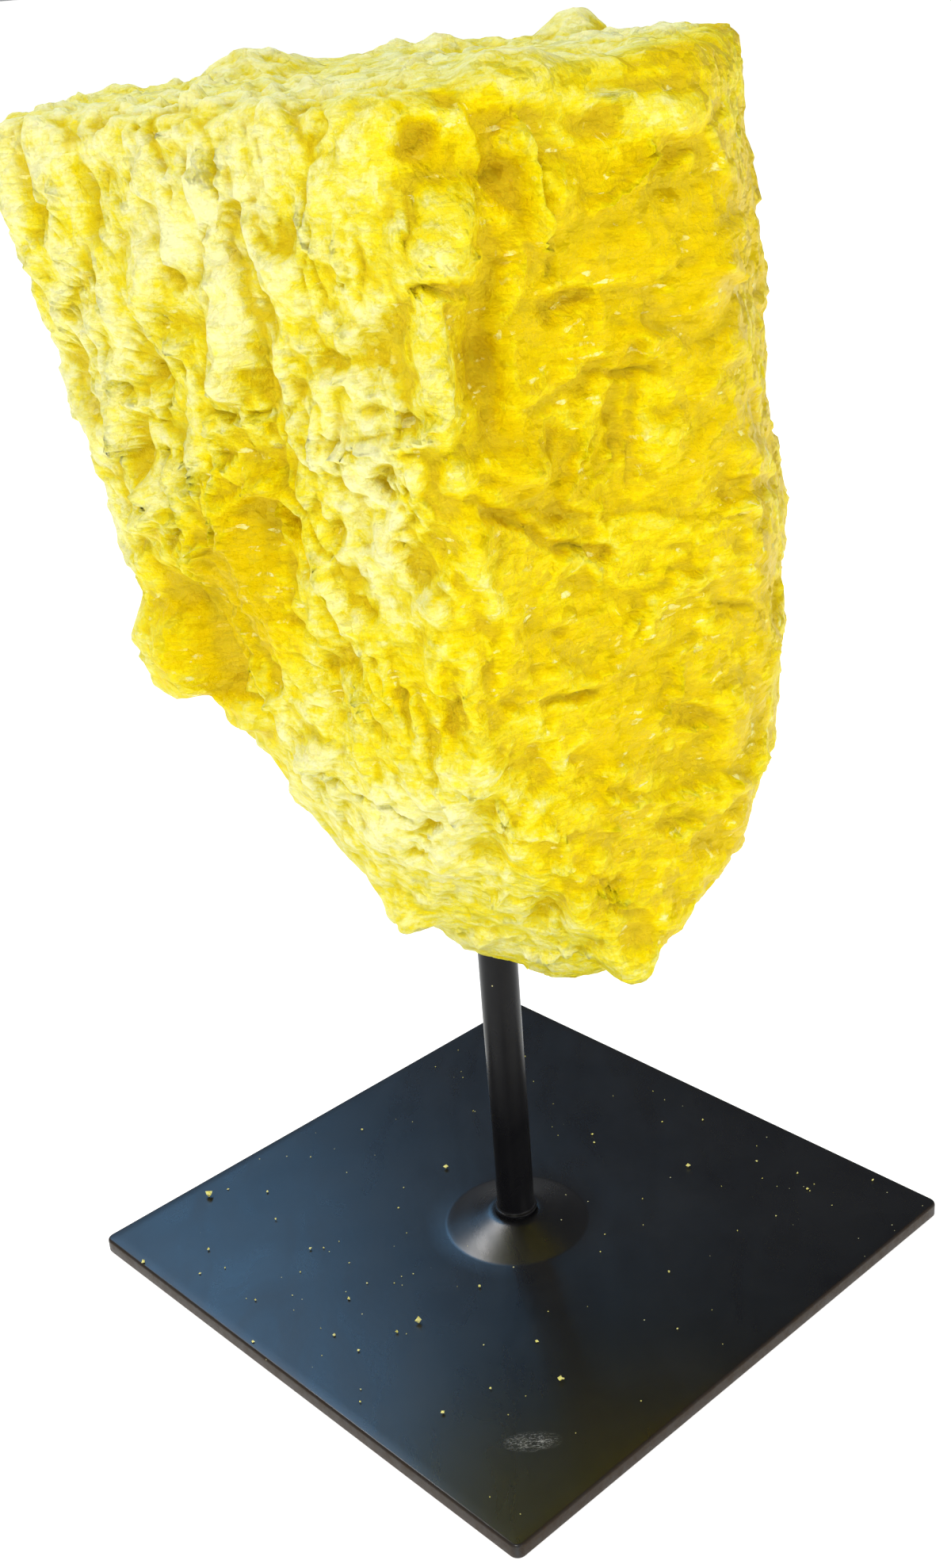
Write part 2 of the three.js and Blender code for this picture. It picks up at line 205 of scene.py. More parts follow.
# Smaller lumps of the display side, placed as they are seen from the eye: millimetres right of
# and above the heart, half width, half height, tall, turn and square as above.
SPOTS = (
    # dome, overhang, capital and pillar in the middle
    (5.5, 64.5, 7.5, 4.5, 3.5, 0, 0.3), (4, 54, 4.4, 5.4, -3.2, 0, 0.3), (-3, 45, 5, 6.2, 3.6, 0, 0.9),
    (-5, 24.5, 3.1, 9.5, 3.6, 4, 0.9),
    # hollow under the left front's edge, and its lower part
    (-35.5, -12, 5, 10, -5, 28, 0.4), (-33, -24, 5.8, 6.9, -2.5, 25, 0.4),
    # upper left face
    (-59.5, 49.5, 1.1, 6.9, 2.1, 3), (-53, 51.5, 2.9, 3.4, -1.7), (-46.5, 51.5, 0.9, 4.1, 1.2),
    (-39.5, 52.5, 1, 4.8, 2.1), (-44.5, 57, 1.5, 1.7, 2.1), (-42.5, 53.5, 1.1, 1.7, 1),
    (-43, 49.5, 1.3, 2.3, -1.2), (-37, 51.5, 2, 5.3, -4.8), (-37, 43, 2, 1.8, 2.7),
    (-34, 40, 1.3, 1.7, -1.9), (-57.5, 39.5, 2.1, 2.2, 2.1), (-57.5, 39.5, 1, 1.1, -2.4),
    (-56.5, 33.5, 1.6, 3.9, -2.2), (-41.5, 36.5, 1.8, 2.4, -2.4), (-43, 31, 2.1, 1.7, -2.2),
    (-47, 37.5, 3, 5.2, 2.4, 0, 0.3), (-47, 61.5, 1.3, 0.8, -1.2), (-48, 58.5, 1.3, 1, -1.2),
    (-51.5, 60, 1.8, 1.4, 0.9), (-34, 62, 1.6, 1, -1.2), (-31.5, 63.5, 1.4, 1.1, 1),
    (-38.5, 63.5, 1.6, 1.1, 1), (-28.5, 64.5, 1.8, 1.6, 1.2),
    # left face, middle height
    (-59.5, 28.5, 1.4, 2.5, 1), (-53.5, 27, 1.6, 2.5, -2.2), (-51.5, 23, 1.1, 3.9, 2.1),
    (-54, 21, 1.1, 2.4, -2.2), (-55.5, 18, 1.3, 1.6, 1, 0, 0.4), (-49, 21, 1.7, 2, -2.8, 0, 0.2),
    (-42.5, 27, 2.5, 1.4, 3, 0, 0.2), (-44.5, 23, 3.3, 2.3, -5.1, 0, 0.3),
    (-43.5, 17.5, 1.1, 2.9, -2.6, -10), (-47, 18.5, 2.8, 0.9, 1.2), (-47, 12, 3, 4.7, -3.2, 0, 0.3),
    (-51, 13, 0.9, 6.9, 2.4, 2), (-48, 5.5, 2.1, 1.7, 2.1, 0, 0.5), (-48, 1, 2.2, 2, 3, 0, 0.2),
    (-42, 5.5, 1.7, 7.8, -5.7, 0, 0.3), (-40, -3, 1.6, 1.5, 3.6, 0, 0.6), (-37.5, -6, 2.1, 1.8, -1.5, -45),
    (-35.5, 21, 2.8, 2.8, 2.4, 0, 0.5), (-30, 18.5, 0.9, 1, 2.1), (-31, 11.5, 3.2, 2.9, -1.5),
    (-35, 11.5, 1.5, 1.8, -1.2), (-28, 13, 1.5, 1.3, 1.2), (-39.5, 8, 1.1, 4.6, 2.4, 5),
    (-34.5, 0, 1.3, 3.9, 2.1, -20), (-31, -8, 1, 0.8, 1), (-39.5, -11.5, 1.5, 1.6, 2.1),
    (-44, -18, 1.8, 1.8, 0.9),
    # crusty ribs left of the pillar
    (-24.5, 42.5, 1, 5.7, 2.1), (-21.5, 39, 0.9, 7.9, -1.6, 3), (-18.5, 40.5, 1, 6.9, 2.4, -3),
    (-15.5, 39, 0.9, 6.6, -1.5), (-13.5, 32.5, 1.3, 2.5, 1.2), (-24.5, 27, 1.6, 1.4, 2.1),
    (-18, 27.5, 1.7, 2, 2.4), (-20.5, 24.5, 1.8, 1.5, -1.9), (-25.5, 24, 1.1, 1, 1),
    (-25, 21, 1.6, 1.8, -1.7, -30), (-18.5, 21.5, 1.8, 1.3, 2.2, 20), (-18, 11.5, 1.9, 7.7, -2, 8),
    (-22, 13, 1.1, 6.9, 2.4, 8), (-25, 15, 1.4, 2.3, 2.1), (-23.5, 7, 1.6, 3.4, 2.4, 10, 0.2),
    (-27, 29, 1, 3.4, 0.9), (-13, 25, 3.3, 5.5, -3.2, 0, 0.2), (-13.5, 20, 2.3, 0.6, 1.2, 15),
    (-13, 18, 2.8, 1.6, -1.9), (-14, 15, 1.6, 1.1, 1), (-12, 7, 1.7, 2.5, -3.2, 0, 0.5),
    (-12, 10.5, 3.7, 1.6, 2.4, 0, 0.2), (-17, 3.5, 1.5, 0.9, 1.2), (-18.5, 0.5, 1.8, 2.9, -2.6),
    (-20.5, -5.5, 1.7, 2.5, 2.7, 15), (-16, -6, 2.9, 1.6, -2.4, -50), (-17, -10.5, 1.3, 2.1, -1.9),
    (-15, -10.5, 1.3, 1.8, -1.9), (-12.5, -2, 1.6, 4.6, 2.4, 12), (-22, -12.5, 1.6, 2.5, 1.2),
    (-25.5, -6, 1.3, 4.3, -1.7), (-27.5, -2, 1, 2.3, 0.8), (-17, -17.5, 4.3, 3.4, -3, 10, 0.2),
    # pillar and the blocks below it
    (-6.5, 16.5, 3.2, 2, -2.2, 0, 0.2), (0, 48, 1, 2.1, -1), (-3.5, 44, 4.6, 4.1, -1.2, 0, 0.3),
    (-10, 44.5, 1.4, 4.6, 2.4), (-3.5, 37.5, 4.6, 0.8, 2.7, -2, 0.2), (-4, 35, 4.7, 1, -3.2, 0, 0.3),
    (2, 26.5, 3.4, 12.6, -3.2, 2, 0.2), (6, 23, 1.6, 5.7, 1), (3, 39, 2.9, 5.3, -2.2, 0, 0.2),
    (-8, 7.5, 2.4, 3.8, 3, 0, 0.2), (-7, 8, 1, 1.6, -1), (-1, 8, 2.9, 3.4, 3.3, 0, 0.3),
    (5, 8.5, 3.7, 4.6, 2.4, 0, 0.4), (9.5, 9, 3.7, 5, 2.7, 0, 0.2), (-6.5, -2.5, 3.9, 6, -5.1, 0, 0.2),
    (-8.5, -1.5, 1.5, 1, 2.1), (-3.5, -7, 1, 1.5, 2.1), (-9.5, 3.5, 1.6, 1.8, -1.7),
    (-5.5, -11.5, 3.4, 2.3, 3, 0, 0.2), (1.5, -3, 2.8, 6.9, 3.6, 0, 0.3),
    (4, -10.5, 2.1, 3.4, 2.4, 15, 0.2), (-2, -18, 3.4, 4.6, 0.8),
    # lower front
    (-18.5, -23, 2.6, 5.3, -2.4, 12, 0.2), (-20, -22, 0.9, 2.5, 0.8, 10), (-15, -24, 0.7, 4.6, 2.1, 8),
    (-11.5, -24, 1.4, 8, 2.4, 14), (-2, -26, 2, 7.4, -2.6, 0, 0.2), (-7.5, -29.5, 1.6, 8, 2.4, 10),
    (1.5, -26, 1.8, 9, 3.3, 6, 0.2), (-13.5, -33, 1.4, 3.4, -1, 20), (-22, -32.5, 3, 3, 3.3, 0, 0.2),
    (9, -33.5, 4.5, 4.3, -2.8, 0, 0.2), (7, -27, 1.8, 1.4, 1.2), (-6, -42.5, 1.8, 1.8, -2.8, 0, 0.2),
    (-6.5, -46, 2, 1.1, -1.9), (-2.5, -41, 1.1, 2.8, 2.1, 25), (2.5, -44.5, 3.9, 6.6, -3.2, 0, 0.2),
    (5.5, -42.5, 1, 3, 3, 20, 0.2), (1.5, -38, 3, 0.7, 2.1), (-12.5, -43.5, 2.3, 2.3, 0.9),
    (-17, -41.5, 1.4, 2.5, -1, 20), (-19.5, -39, 1.6, 2.3, 1.2, 20), (-10, -50.5, 1.8, 2.8, -0.9),
    (-5.5, -52.5, 2.5, 2.3, 1.2), (5, -53, 1.3, 1, 2.1), (2, -59, 2.3, 1.8, 2.1), (6, -59, 2.1, 1.6, 1),
    (-1.5, -58.5, 1.6, 0.9, -1.2), (-3.5, -48, 1.6, 1.8, 1), (11, -55, 2.4, 2.6, -2.6, 0, 0.2),
    # right front, upper part
    (10, 50, 3, 4.6, 1), (13, 44.5, 2.5, 1.4, 1.2), (11.5, 38.5, 1.3, 2.4, -1.5, 0, 0.3),
    (12, 32, 1.7, 2.3, -1.7, 0, 0.3), (15, 34, 3.3, 1.8, -2.2, 10), (8, 39, 1.1, 4.6, 1.2, 5),
    (19, 59, 4.5, 2.4, -2.2, 5, 0.2), (20.5, 63, 3.9, 1, 2.7, 5, 0.3), (26, 55.5, 0.9, 3.2, 2.4, -5),
    (29.5, 56, 2.4, 2.1, -2.2), (32.5, 54, 1.6, 1.6, 1.2), (24.5, 42.5, 2.3, 2.1, 1.2),
    (19.5, 40.5, 2.5, 2.3, 1.2, 0, 0.2), (30, 47.5, 2.5, 2.5, 1.2, 0, 0.2), (36, 48.5, 1.8, 3.2, 1.2, 10),
    (32.5, 40.5, 2.3, 1.8, -1), (37, 38, 2.5, 1.8, 1.2, 0, 0.2), (29, 34.5, 2.1, 1.8, 1.2, 0, 0.2),
    (33.5, 32.5, 2.1, 1.6, 1, 0, 0.2), (19.5, 31, 1.8, 2.8, 1.2), (25, 27.5, 3, 2.8, 3, 0, 0.3),
    (23.5, 23.5, 5.3, 1.1, -2.4, 0, 0.3),
    # right front, middle height
    (22.5, 17.5, 2.4, 7.1, -1.5, -8), (29, 13, 5, 4.1, 3, 10, 0.3), (16.5, 12, 1.5, 3.7, 3.3, -25, 0.2),
    (21, 11, 1.1, 1.5, 2.7, -20), (15, 6, 1.4, 3, 2.4, -20), (18.5, 3.5, 1.4, 1.8, 2.1, -20),
    (13, 17.5, 2.5, 1.6, 1.2, 5), (8, 19.5, 2.1, 1.6, 1.2), (15, 23, 2.3, 1.6, 1.2, 5),
    (12, 13, 1, 2.6, -1.5), (14.5, -4.5, 2.2, 1.6, 1.8, 0, 0.2), (16.5, -7, 2.9, 2.4, -1.3),
    (19, -6, 1, 1.3, 2.1, -20), (11.5, -1, 1.6, 1.4, 1.2, -30), (40, 6.5, 4.5, 2.1, -2.6, 0, 0.5),
    (40.5, 3, 3.4, 1.1, 2.1, 0, 0.4), (39, -2, 1.5, 1.4, -1.2), (32.5, -7.5, 3.7, 2.1, 3, 10, 0.2),
    (25.5, -13, 1, 3.2, 2.4, -40), (11.5, -10, 2.8, 1.4, 1), (13, -14.5, 2.5, 1.4, -1.2, 10),
    (36, 22, 2.8, 1.4, 1, 0, 0.3), (40.5, 11.5, 2.8, 2.3, 1.2, 0, 0.3), (27.5, 1.5, 3, 1.6, 1.2, 0, 0.2),
    (30, -2, 2.5, 1.1, -1.2), (39, -10.5, 3.9, 0.9, -1.7, -5, 0.2), (36, -13.5, 3.9, 1.6, 1.2, 0, 0.3),
    (41.5, -6.5, 2.3, 1.4, 1, 0, 0.3),
    # right front, lower part
    (15.5, -23.5, 4.5, 1, -2.4, 8, 0.2), (14, -20.5, 3.4, 1.8, 2.1, 15, 0.2), (9, -21.5, 2.5, 2.1, 1),
    (30, -22.5, 1.1, 3.7, 2.7, -12, 0.2), (28.5, -26.5, 1.4, 0.9, 2.1), (33, -27, 3.4, 1.8, -1.2, 0, 0.4),
    (33.5, -28.5, 3.2, 0.7, 2.4, -5, 0.2), (38.5, -24, 2.5, 2.5, 1.2, 0, 0.3), (29, -31, 1.6, 1.6, 1.2),
    (31.5, -34, 5.1, 4.5, -1.7, 0, 0.4), (32.5, -38, 5.3, 0.8, 3.3, 14, 0.2),
    (40, -36.5, 1.8, 1.4, 2.1, 20), (31, -41.5, 5.3, 1.8, -2.2, 8, 0.2), (31.5, -43, 2.1, 0.9, 2.1, 12),
    (24.5, -39.5, 1, 2.8, 2.4, -65), (21, -38.5, 1, 2.1, 2.4, 50), (22, -43, 2.5, 0.8, 2.1, 10),
    (22, -35, 2.1, 2.1, 2.1, 0, 0.2), (17.5, -34, 2.6, 3.4, -1.5, 0, 0.2), (12, -41.5, 0.9, 1.1, 2.1),
    (13.5, -44.5, 1, 3, 2.4, 35), (14, -48.5, 2.1, 1.4, 2.7, 0, 0.2), (16.5, -50, 1.4, 1, 1),
    (19.5, -47.5, 2.1, 2.2, 2.7), (19.5, -47.5, 0.9, 0.9, -1.2), (21.5, -50.5, 2.9, 1, -1.7, 0, 0.2),
    (21, -53, 5, 0.7, 2.7, -12, 0.2), (23, -55, 4.5, 1, -1.7, -10, 0.2),
    (17, -55, 2.9, 3.9, 2.7, -12, 0.5), (13, -54.5, 1.6, 3.9, -2.2, 20),
    (25, -59, 2.9, 3.9, -1.7, 10, 0.2), (30, -56, 2.3, 2.8, 1, -30, 0.2), (9, -61, 1.4, 0.9, 2.4),
    (11.5, -61.5, 1.4, 0.9, 2.1), (14.5, -60.5, 1.5, 1, 2.4), (17.5, -61.5, 1.4, 0.9, 2.1),
    (21, -58, 1.6, 1.6, 1), (36, -44.5, 3.9, 1.8, -1.5, 25, 0.2), (33.5, -50.5, 2.8, 1.6, 1.2, 30, 0.2),
    (39, -42.5, 2.1, 1.6, 1.2, 20, 0.2), (42.5, -26, 1.4, 3.4, -1, 5, 0.2),
)

# Patches of the display side that are paler, or more golden where the amount is negative: place as seen
# from the eye, half width, half height and amount. The golden ones in the hollows and on the upper right
# are painted shade and bounce light, and partly fresher sulfur.
PATCHES = (
    (-31, 0, 7, 10, -0.6),  # scoop
    (-37, -15, 11, 14, -0.95),  # hollow under the left front
    (-13, -24, 10, 14, -0.3),  # low left front
    (-10, -47, 13, 8, 0.08),  # foot
    (5, 22, 5, 13, -0.25),  # groove right of the pillar
    (-5, 40, 8, 22, 0.15),  # pillar and capital
    (25, 62, 16, 6, 0.3),  # terrace
    (-6, 55, 4, 4, -0.5),  # deep pit
    (29, 33, 15, 20, -0.3),  # upper right
)

# Smaller ribs of the display side: the path as seen from the eye, flank widths on the left and
# right of its run, and tall.
SEAMS = (
    # fin
    (((8.5, 57), (11.5, 44.5)), 2, 3.6, 5.5),
    # crack beside the pointed knob
    (((-34.5, 51.5), (-34, 41.5), (-32.5, 39), (-31.5, 32), (-28.5, 23), (-28.5, 15),
      (-25.5, 8), (-23.5, 1.5), (-18, -6.5), (-14.5, -11)), 1.8, 1.8, -1.6),
    # blade of the wedge
    (((-44, 10), (-46, 1)), 0.6, 0.6, 1.8),
    # crack between two layers
    (((-38.5, 17.5), (-28.5, 17)), 0.5, 0.5, -2.2),
    (((-37.5, 15), (-29, 16)), 0.7, 0.7, 0.9),
    (((-37.5, 17), (-36, 9.5), (-37, 2.5), (-38, -2)), 0.7, 0.7, 1.4),
    # lip of the scoop
    (((-36, 3), (-32, 5.5), (-27, 8)), 1.3, 1.3, 2.4),
    # ledge at the pillar's foot
    (((-17, 12), (-10, 12.5), (-6, 14), (-2.5, 17.5)), 1, 1, 2.6),
    # undercut below the blocks
    (((2.5, 2.5), (7, 1.5), (13, -2), (19.5, -3)), 1.6, 1.2, -2),
    # upper edge of the scarp
    (((-41, -4), (-37.5, -10), (-34, -13), (-31.5, -17), (-28, -24)), 0.7, 1.1, 1.4),
    # undercut at its foot
    (((-21, -35), (-17.5, -36), (-15.5, -38), (-11.5, -39), (-8.5, -41.5)), 0.7, 0.7, -2.4),
    # crack down the right front
    (((23.5, 27.5), (24.5, 17.5), (23, 8)), 1.1, 1.1, -1.2),
    # edge of the shoulder
    (((18.5, 47), (24.5, 51.5), (27, 54)), 0.9, 0.9, 2.0),
)


def direction(bearing, rise):
    """The way from the heart at a bearing and a rise, in radians."""
    return np.stack([np.sin(bearing) * np.cos(rise), -np.cos(bearing) * np.cos(rise),
                     np.sin(rise) + 0 * bearing], -1)


def block(rays):
    """Where rays from the heart leave the block that the broad faces enclose, and the way
    out there. With t the ray's share of each face's distance, the radius is the sum of
    t**sharpness, to the power -1/sharpness, which rounds the corners. The way out is the
    faces' normals weighed by a low power of t, so that it turns gently round a corner."""
    total = 0.0
    out = np.zeros_like(rays)
    for bearing, rise, distance in BROAD_FACES:
        normal = direction(np.radians(bearing), np.radians(rise))
        share = np.maximum(rays @ normal / distance, 0)
        total = total + share ** CORNER_SHARPNESS
        out = out + (share ** 7 / distance)[..., None] * normal
    points = rays * (total ** (-1 / CORNER_SHARPNESS))[..., None]
    return points, out / np.linalg.norm(out, axis=-1, keepdims=True)


def lump_height(at, bearing, rise, wide, high, tall, turn=0, square=0):
    """A lump stands on its face: it has half widths across and up in the face's plane, and
    its outline is a superellipse. It rises from the rim to the top by 0.4 of a straight
    slope and 0.6 of an S curve. Points further off the plane than its larger half width
    count as further from its middle, so that it doesn't reach round a corner."""
    bearing, turn = math.radians(bearing), math.radians(turn)
    centre, out = (row[0] for row in block(direction(bearing, np.radians([rise]))))
    level = np.array([math.cos(bearing), math.sin(bearing), 0])
    right = level - (level @ out) * out
    right = right / np.linalg.norm(right)
    up = np.cross(out, right)
    across = right * math.cos(turn) + up * math.sin(turn)
    along = up * math.cos(turn) - right * math.sin(turn)
    offset = at - centre
    power = 2 + 2 * square
    reach = (np.abs(offset @ across / wide) ** power
             + np.abs(offset @ along / high) ** power) ** (1 / power)
    depth = np.abs(offset @ out) / max(wide, high)
    reach = np.hypot(reach, np.maximum(depth - 1, 0))
    near = np.clip((1 - reach) / (1 - 0.7 * square), 0, 1)
    return tall * (0.4 * near + 0.6 * smooth_step(near))


def rib_height(at, path, wide_left, wide_right, tall):
    """A rib is highest on its path and falls off by an S curve over its own width on each
    side. The side is told by the cross product of the path's run and the way out."""
    stops = block(direction(*np.radians(np.array(path, float)).T))[0]
    most = np.zeros(at.shape[:-1])
    for start, end in zip(stops[:-1], stops[1:]):
        run = end - start
        length = np.linalg.norm(run)
        run = run / length
        side = np.cross(run, (start + end) / np.linalg.norm(start + end))
        offset = at - start
        away = offset - np.clip(offset @ run, 0, length)[..., None] * run
        wide = np.where(away @ side > 0, wide_right, wide_left)
        most = np.maximum(most, smooth_step(1 - np.linalg.norm(away, axis=-1) / wide))
    return tall * most


def sight(points):
    """Where points are seen from the eye, in millimetres right of and above the heart, on
    the plane through the heart that faces the eye."""
    ahead = np.array([0, math.cos(TILT), -math.sin(TILT)])
    level, lift = np.array([1, 0, 0]), np.array([0, math.sin(TILT), math.cos(TILT)])
    right = level * math.cos(ROLL) + lift * math.sin(ROLL)
    up = lift * math.cos(ROLL) - level * math.sin(ROLL)
    heart = (HEART - EYE) @ ahead
    way = points - EYE
    depth = way @ ahead
    x = (way @ right) / depth * heart - (HEART - EYE) @ right
    y = (way @ up) / depth * heart - (HEART - EYE) @ up
    return x, y


def spot_height(x, y, centre_x, centre_y, wide, high, tall, turn=0, square=0):
    """A dome or block whose outline is a superellipse in the plane seen from the eye. It
    rises by 0.6 of a straight slope and 0.4 of an S curve, from a little past its rim."""
    c, s = math.cos(math.radians(turn)), math.sin(math.radians(turn))
    across = ((x - centre_x) * c + (y - centre_y) * s) / wide
    along = ((y - centre_y) * c - (x - centre_x) * s) / high
    power = 2 + 2 * square
    reach = (np.abs(across) ** power + np.abs(along) ** power) ** (1 / power)
    near = np.clip((1.15 - reach) / (1.15 - 0.75 * square), 0, 1)
    return tall * (0.6 * near + 0.4 * smooth_step(near))


def seam_height(x, y, path, wide_left, wide_right, tall):
    """A rib or groove highest on its path, in the plane seen from the eye. It falls off over
    its own width on each side, half by a straight slope and half by an S curve."""
    most = np.zeros_like(x)
    for (x0, y0), (x1, y1) in zip(path[:-1], path[1:]):
        length = math.hypot(x1 - x0, y1 - y0)
        run_x, run_y = (x1 - x0) / length, (y1 - y0) / length
        along = np.clip((x - x0) * run_x + (y - y0) * run_y, 0, length)
        off_x, off_y = x - x0 - along * run_x, y - y0 - along * run_y
        wide = np.where(off_x * run_y - off_y * run_x > 0, wide_right, wide_left)
        near = np.clip(1.2 - np.hypot(off_x, off_y) / wide, 0, 1)
        most = np.maximum(most, 0.5 * near + 0.5 * smooth_step(near))
    return tall * most


def patch_tone(x, y, centre_x, centre_y, wide, high, amount):
    """How much an oval patch changes the paleness, partly a pale crust and partly painted light: a bell
    curve in each direction.
    """
    return amount * np.exp(-((x - centre_x) / wide) ** 2 - ((y - centre_y) / high) ** 2)


MOST_RELIEF = 4.5


def display_relief(points, out):
    """All spots and seams added up where the surface faces the eye. Their outlines are bent
    by smooth noise, and a hyperbolic tangent levels the sum off towards the most relief, up
    or down."""
    x, y = sight(points)
    way = EYE - points
    facing = np.sum(out * way, -1) / np.linalg.norm(way, axis=-1)
    x = x + 1.1 * grain(points, 5.5, 61) + 0.5 * grain(points, 2.2, 62)
    y = y + 1.1 * grain(points, 5.5, 63) + 0.5 * grain(points, 2.2, 64)
    total = sum(spot_height(x, y, *spot) for spot in SPOTS)
    total = total + sum(seam_height(x, y, *seam) for seam in SEAMS)
    return MOST_RELIEF * np.tanh(total / MOST_RELIEF) * smooth_step(facing / 0.25 + 0.4)


def facets(at, size, sharp, seed):
    """Broken faces that meet in slightly worn edges. Each cell's face has its own height and
    leans its own way, and the faces of neighbouring cells are averaged with weights that
    fall off as exp(-sharp * distance squared)."""
    p = at / size
    base = np.floor(p).astype(np.int64)
    total = np.zeros(p.shape[:-1])
    weights = np.full(p.shape[:-1], 1e-12)
    for step in np.ndindex(3, 3, 3):
        cube = base + np.array(step) - 1
        ix, iy, iz = cube[..., 0], cube[..., 1], cube[..., 2]
        centre = cube + np.stack([scatter(ix, iy, iz, seed + k) for k in (1, 2, 3)], -1)
        lean = np.stack([scatter(ix, iy, iz, seed + k) for k in (4, 5, 6)], -1) - 0.5
        offset = p - centre
        weight = np.exp(-sharp * np.sum(offset * offset, -1))
        total += weight * (2.4 * np.sum(offset * lean, -1) + 0.7 * lean[..., 1])
        weights += weight
    return total / weights


def crust(at, out):
    """The stone's fine relief, in broken faces of three sizes. Where the surface looks left
    or up they are old, deep and a little taller than wide, and worn down towards the foot.
    Where it looks right they are fresh, shallow and in flat layers, and smooth noise blends
    the two. Smooth noise of two sizes is added."""
    sway = np.stack([grain(at, 6, seed) for seed in (11, 12, 13)], -1) * 1.2
    rough = smooth_step(0.62 + 0.9 * grain(at, 22, 5) - 1.1 * out[..., 0])
    ribbed = (at + sway) * [1.1, 1.0, 0.8]
    layered = (at + sway) * [0.8, 0.8, 1.3]
    old = 1.4 * facets(ribbed, 9.5, 34, 21) + 0.8 * facets(ribbed, 4.6, 34, 22)
    old = old + 0.36 * facets(at, 2.6, 30, 23)
    fresh = 1.2 * facets(layered, 12, 34, 25) + 0.42 * facets(layered, 5, 34, 26)
    fresh = fresh + 0.22 * facets(layered, 2.4, 24, 27)
    worn = 0.45 + 0.55 * smooth_step((at[..., 2] + 60) / 70)
    total = rough * old * worn + (1 - rough) * fresh
    return total + 0.6 * grain(at, 13, 31) + 0.2 * grain(at, 5, 32)


COLUMNS = 328
ROWS = 300


def stone_grid():
    """Bearings and rises of the stone's grid. Columns are closer together on the display
    side. Rows are evenly spaced down an outline near the stone's own: across the top, down
    the side, in to the foot and across it."""
    turn = np.arange(COLUMNS) / COLUMNS * 2 * np.pi - np.pi
    bearings = turn - 0.4 * np.sin(turn + 0.25)
    reach = np.array([0.0, 44.0, 41.0, 14.0, 0.0])
    height = np.array([62.0, 62.0, -18.0, -76.0, -76.0])
    run = np.concatenate([[0], np.cumsum(np.hypot(np.diff(reach), np.diff(height)))])
    s = run[-1] * (np.arange(ROWS) + 1) / (ROWS + 1)
    return bearings, np.arctan2(np.interp(s, run, height), np.interp(s, run, reach))


def stone_points():
    """Block, lumps, ribs, display relief and crust added up over the grid. Gives the points, how hollow
    each one is, and how pale each one is or, below 0, how golden. The paleness is partly a pale crust and
    partly painted light: paler where the surface faces left and up, and golden patches of painted shade in
    the hollows. A point is hollow when it lies below the average of its neighbours."""
    bearings, rises = stone_grid()
    bearing, rise = np.meshgrid(bearings, rises)
    at, out = block(direction(bearing, rise))
    bent = at + 1.5 * np.stack([grain(at, 9, seed) for seed in (51, 52, 53)], -1)
    form = sum(lump_height(bent, *lump) for lump in LUMPS)
    form = form + sum(rib_height(bent, *rib) for rib in RIBS)
    broad = HEART + at + out * form[..., None]
    relief = display_relief(broad, out)
    # read once more where the first reading has moved the surface to
    relief = display_relief(broad + 0.7 * out * relief[..., None], out)
    height = form + relief + crust(at, out)
    points = HEART + at + out * height[..., None]
    hollow = 0.42 + 0.7 * (blur(height, 2) - height) + 0.35 * (blur(height, 9) - height)
    hollow = np.clip(hollow, 0, 1)
    # Paler where the surface faces left and up: partly a worn crust, partly painted light from above left.
    pale_crust_and_lit_side = smooth_step(0.5 - 0.75 * out[..., 0] + 0.5 * np.maximum(out[..., 2], 0))
    x, y = sight(points)
    shown = smooth_step(1 - out[..., 1] * 2)
    patches = shown * sum(patch_tone(x, y, *patch) for patch in PATCHES)
    bloom_and_painted_light = 0.06 + 0.6 * pale_crust_and_lit_side + 0.3 * grain(at, 17, 41) + patches
    return points, hollow, np.clip(bloom_and_painted_light, -0.5, 1)


def blur(grid, reach):
    """Averages a grid over neighbours in both directions, with weights that fall off as a
    raised cosine. It goes round in bearing and is held at the first and last rows."""
    kernel = np.hanning(2 * reach + 3)[1:-1]
    kernel = kernel / kernel.sum()
    steps = np.arange(-reach, reach + 1)
    rows = np.clip(np.arange(grid.shape[0])[:, None] + steps, 0, grid.shape[0] - 1)
    grid = (grid[rows] * kernel[None, :, None]).sum(1)
    return sum(k * np.roll(grid, step, 1) for k, step in zip(kernel, steps))


# ---- meshes from arrays

def object_from(name, vertices, faces):
    """A smooth-shaded object from vertices in millimetres and lists of faces."""
    mesh = bpy.data.meshes.new(name)
    mesh.from_pydata((vertices * MM).tolist(), [], faces)
    mesh.polygons.foreach_set("use_smooth", np.ones(len(mesh.polygons), bool))
    piece = bpy.data.objects.new(name, mesh)
    bpy.context.scene.collection.objects.link(piece)
    return piece


def ring_mesh(name, points, start=None, end=None):
    """A closed mesh from a grid of points whose rows are rings. Its ends are closed by one
    point each, or else the last ring joins the first. Rings run anticlockwise seen from
    the start's side."""
    rows, columns = points.shape[:2]
    index = np.arange(rows * columns).reshape(rows, columns)
    below = np.roll(index, -1, 0)
    if start is not None:
        index, below = index[:-1], index[1:]
    quads = np.stack([index, below, np.roll(below, -1, 1), np.roll(index, -1, 1)], -1)
    faces = quads.reshape(-1, 4).tolist()
    vertices = points.reshape(-1, 3)
    if start is not None:
        first, last = index[0], below[-1]
        top = np.full(columns, len(vertices))
        faces += np.stack([top, first, np.roll(first, -1)], -1).tolist()
        faces += np.stack([top + 1, np.roll(last, -1), last], -1).tolist()
        vertices = np.concatenate([vertices, [start], [end]])
    return object_from(name, vertices, faces)


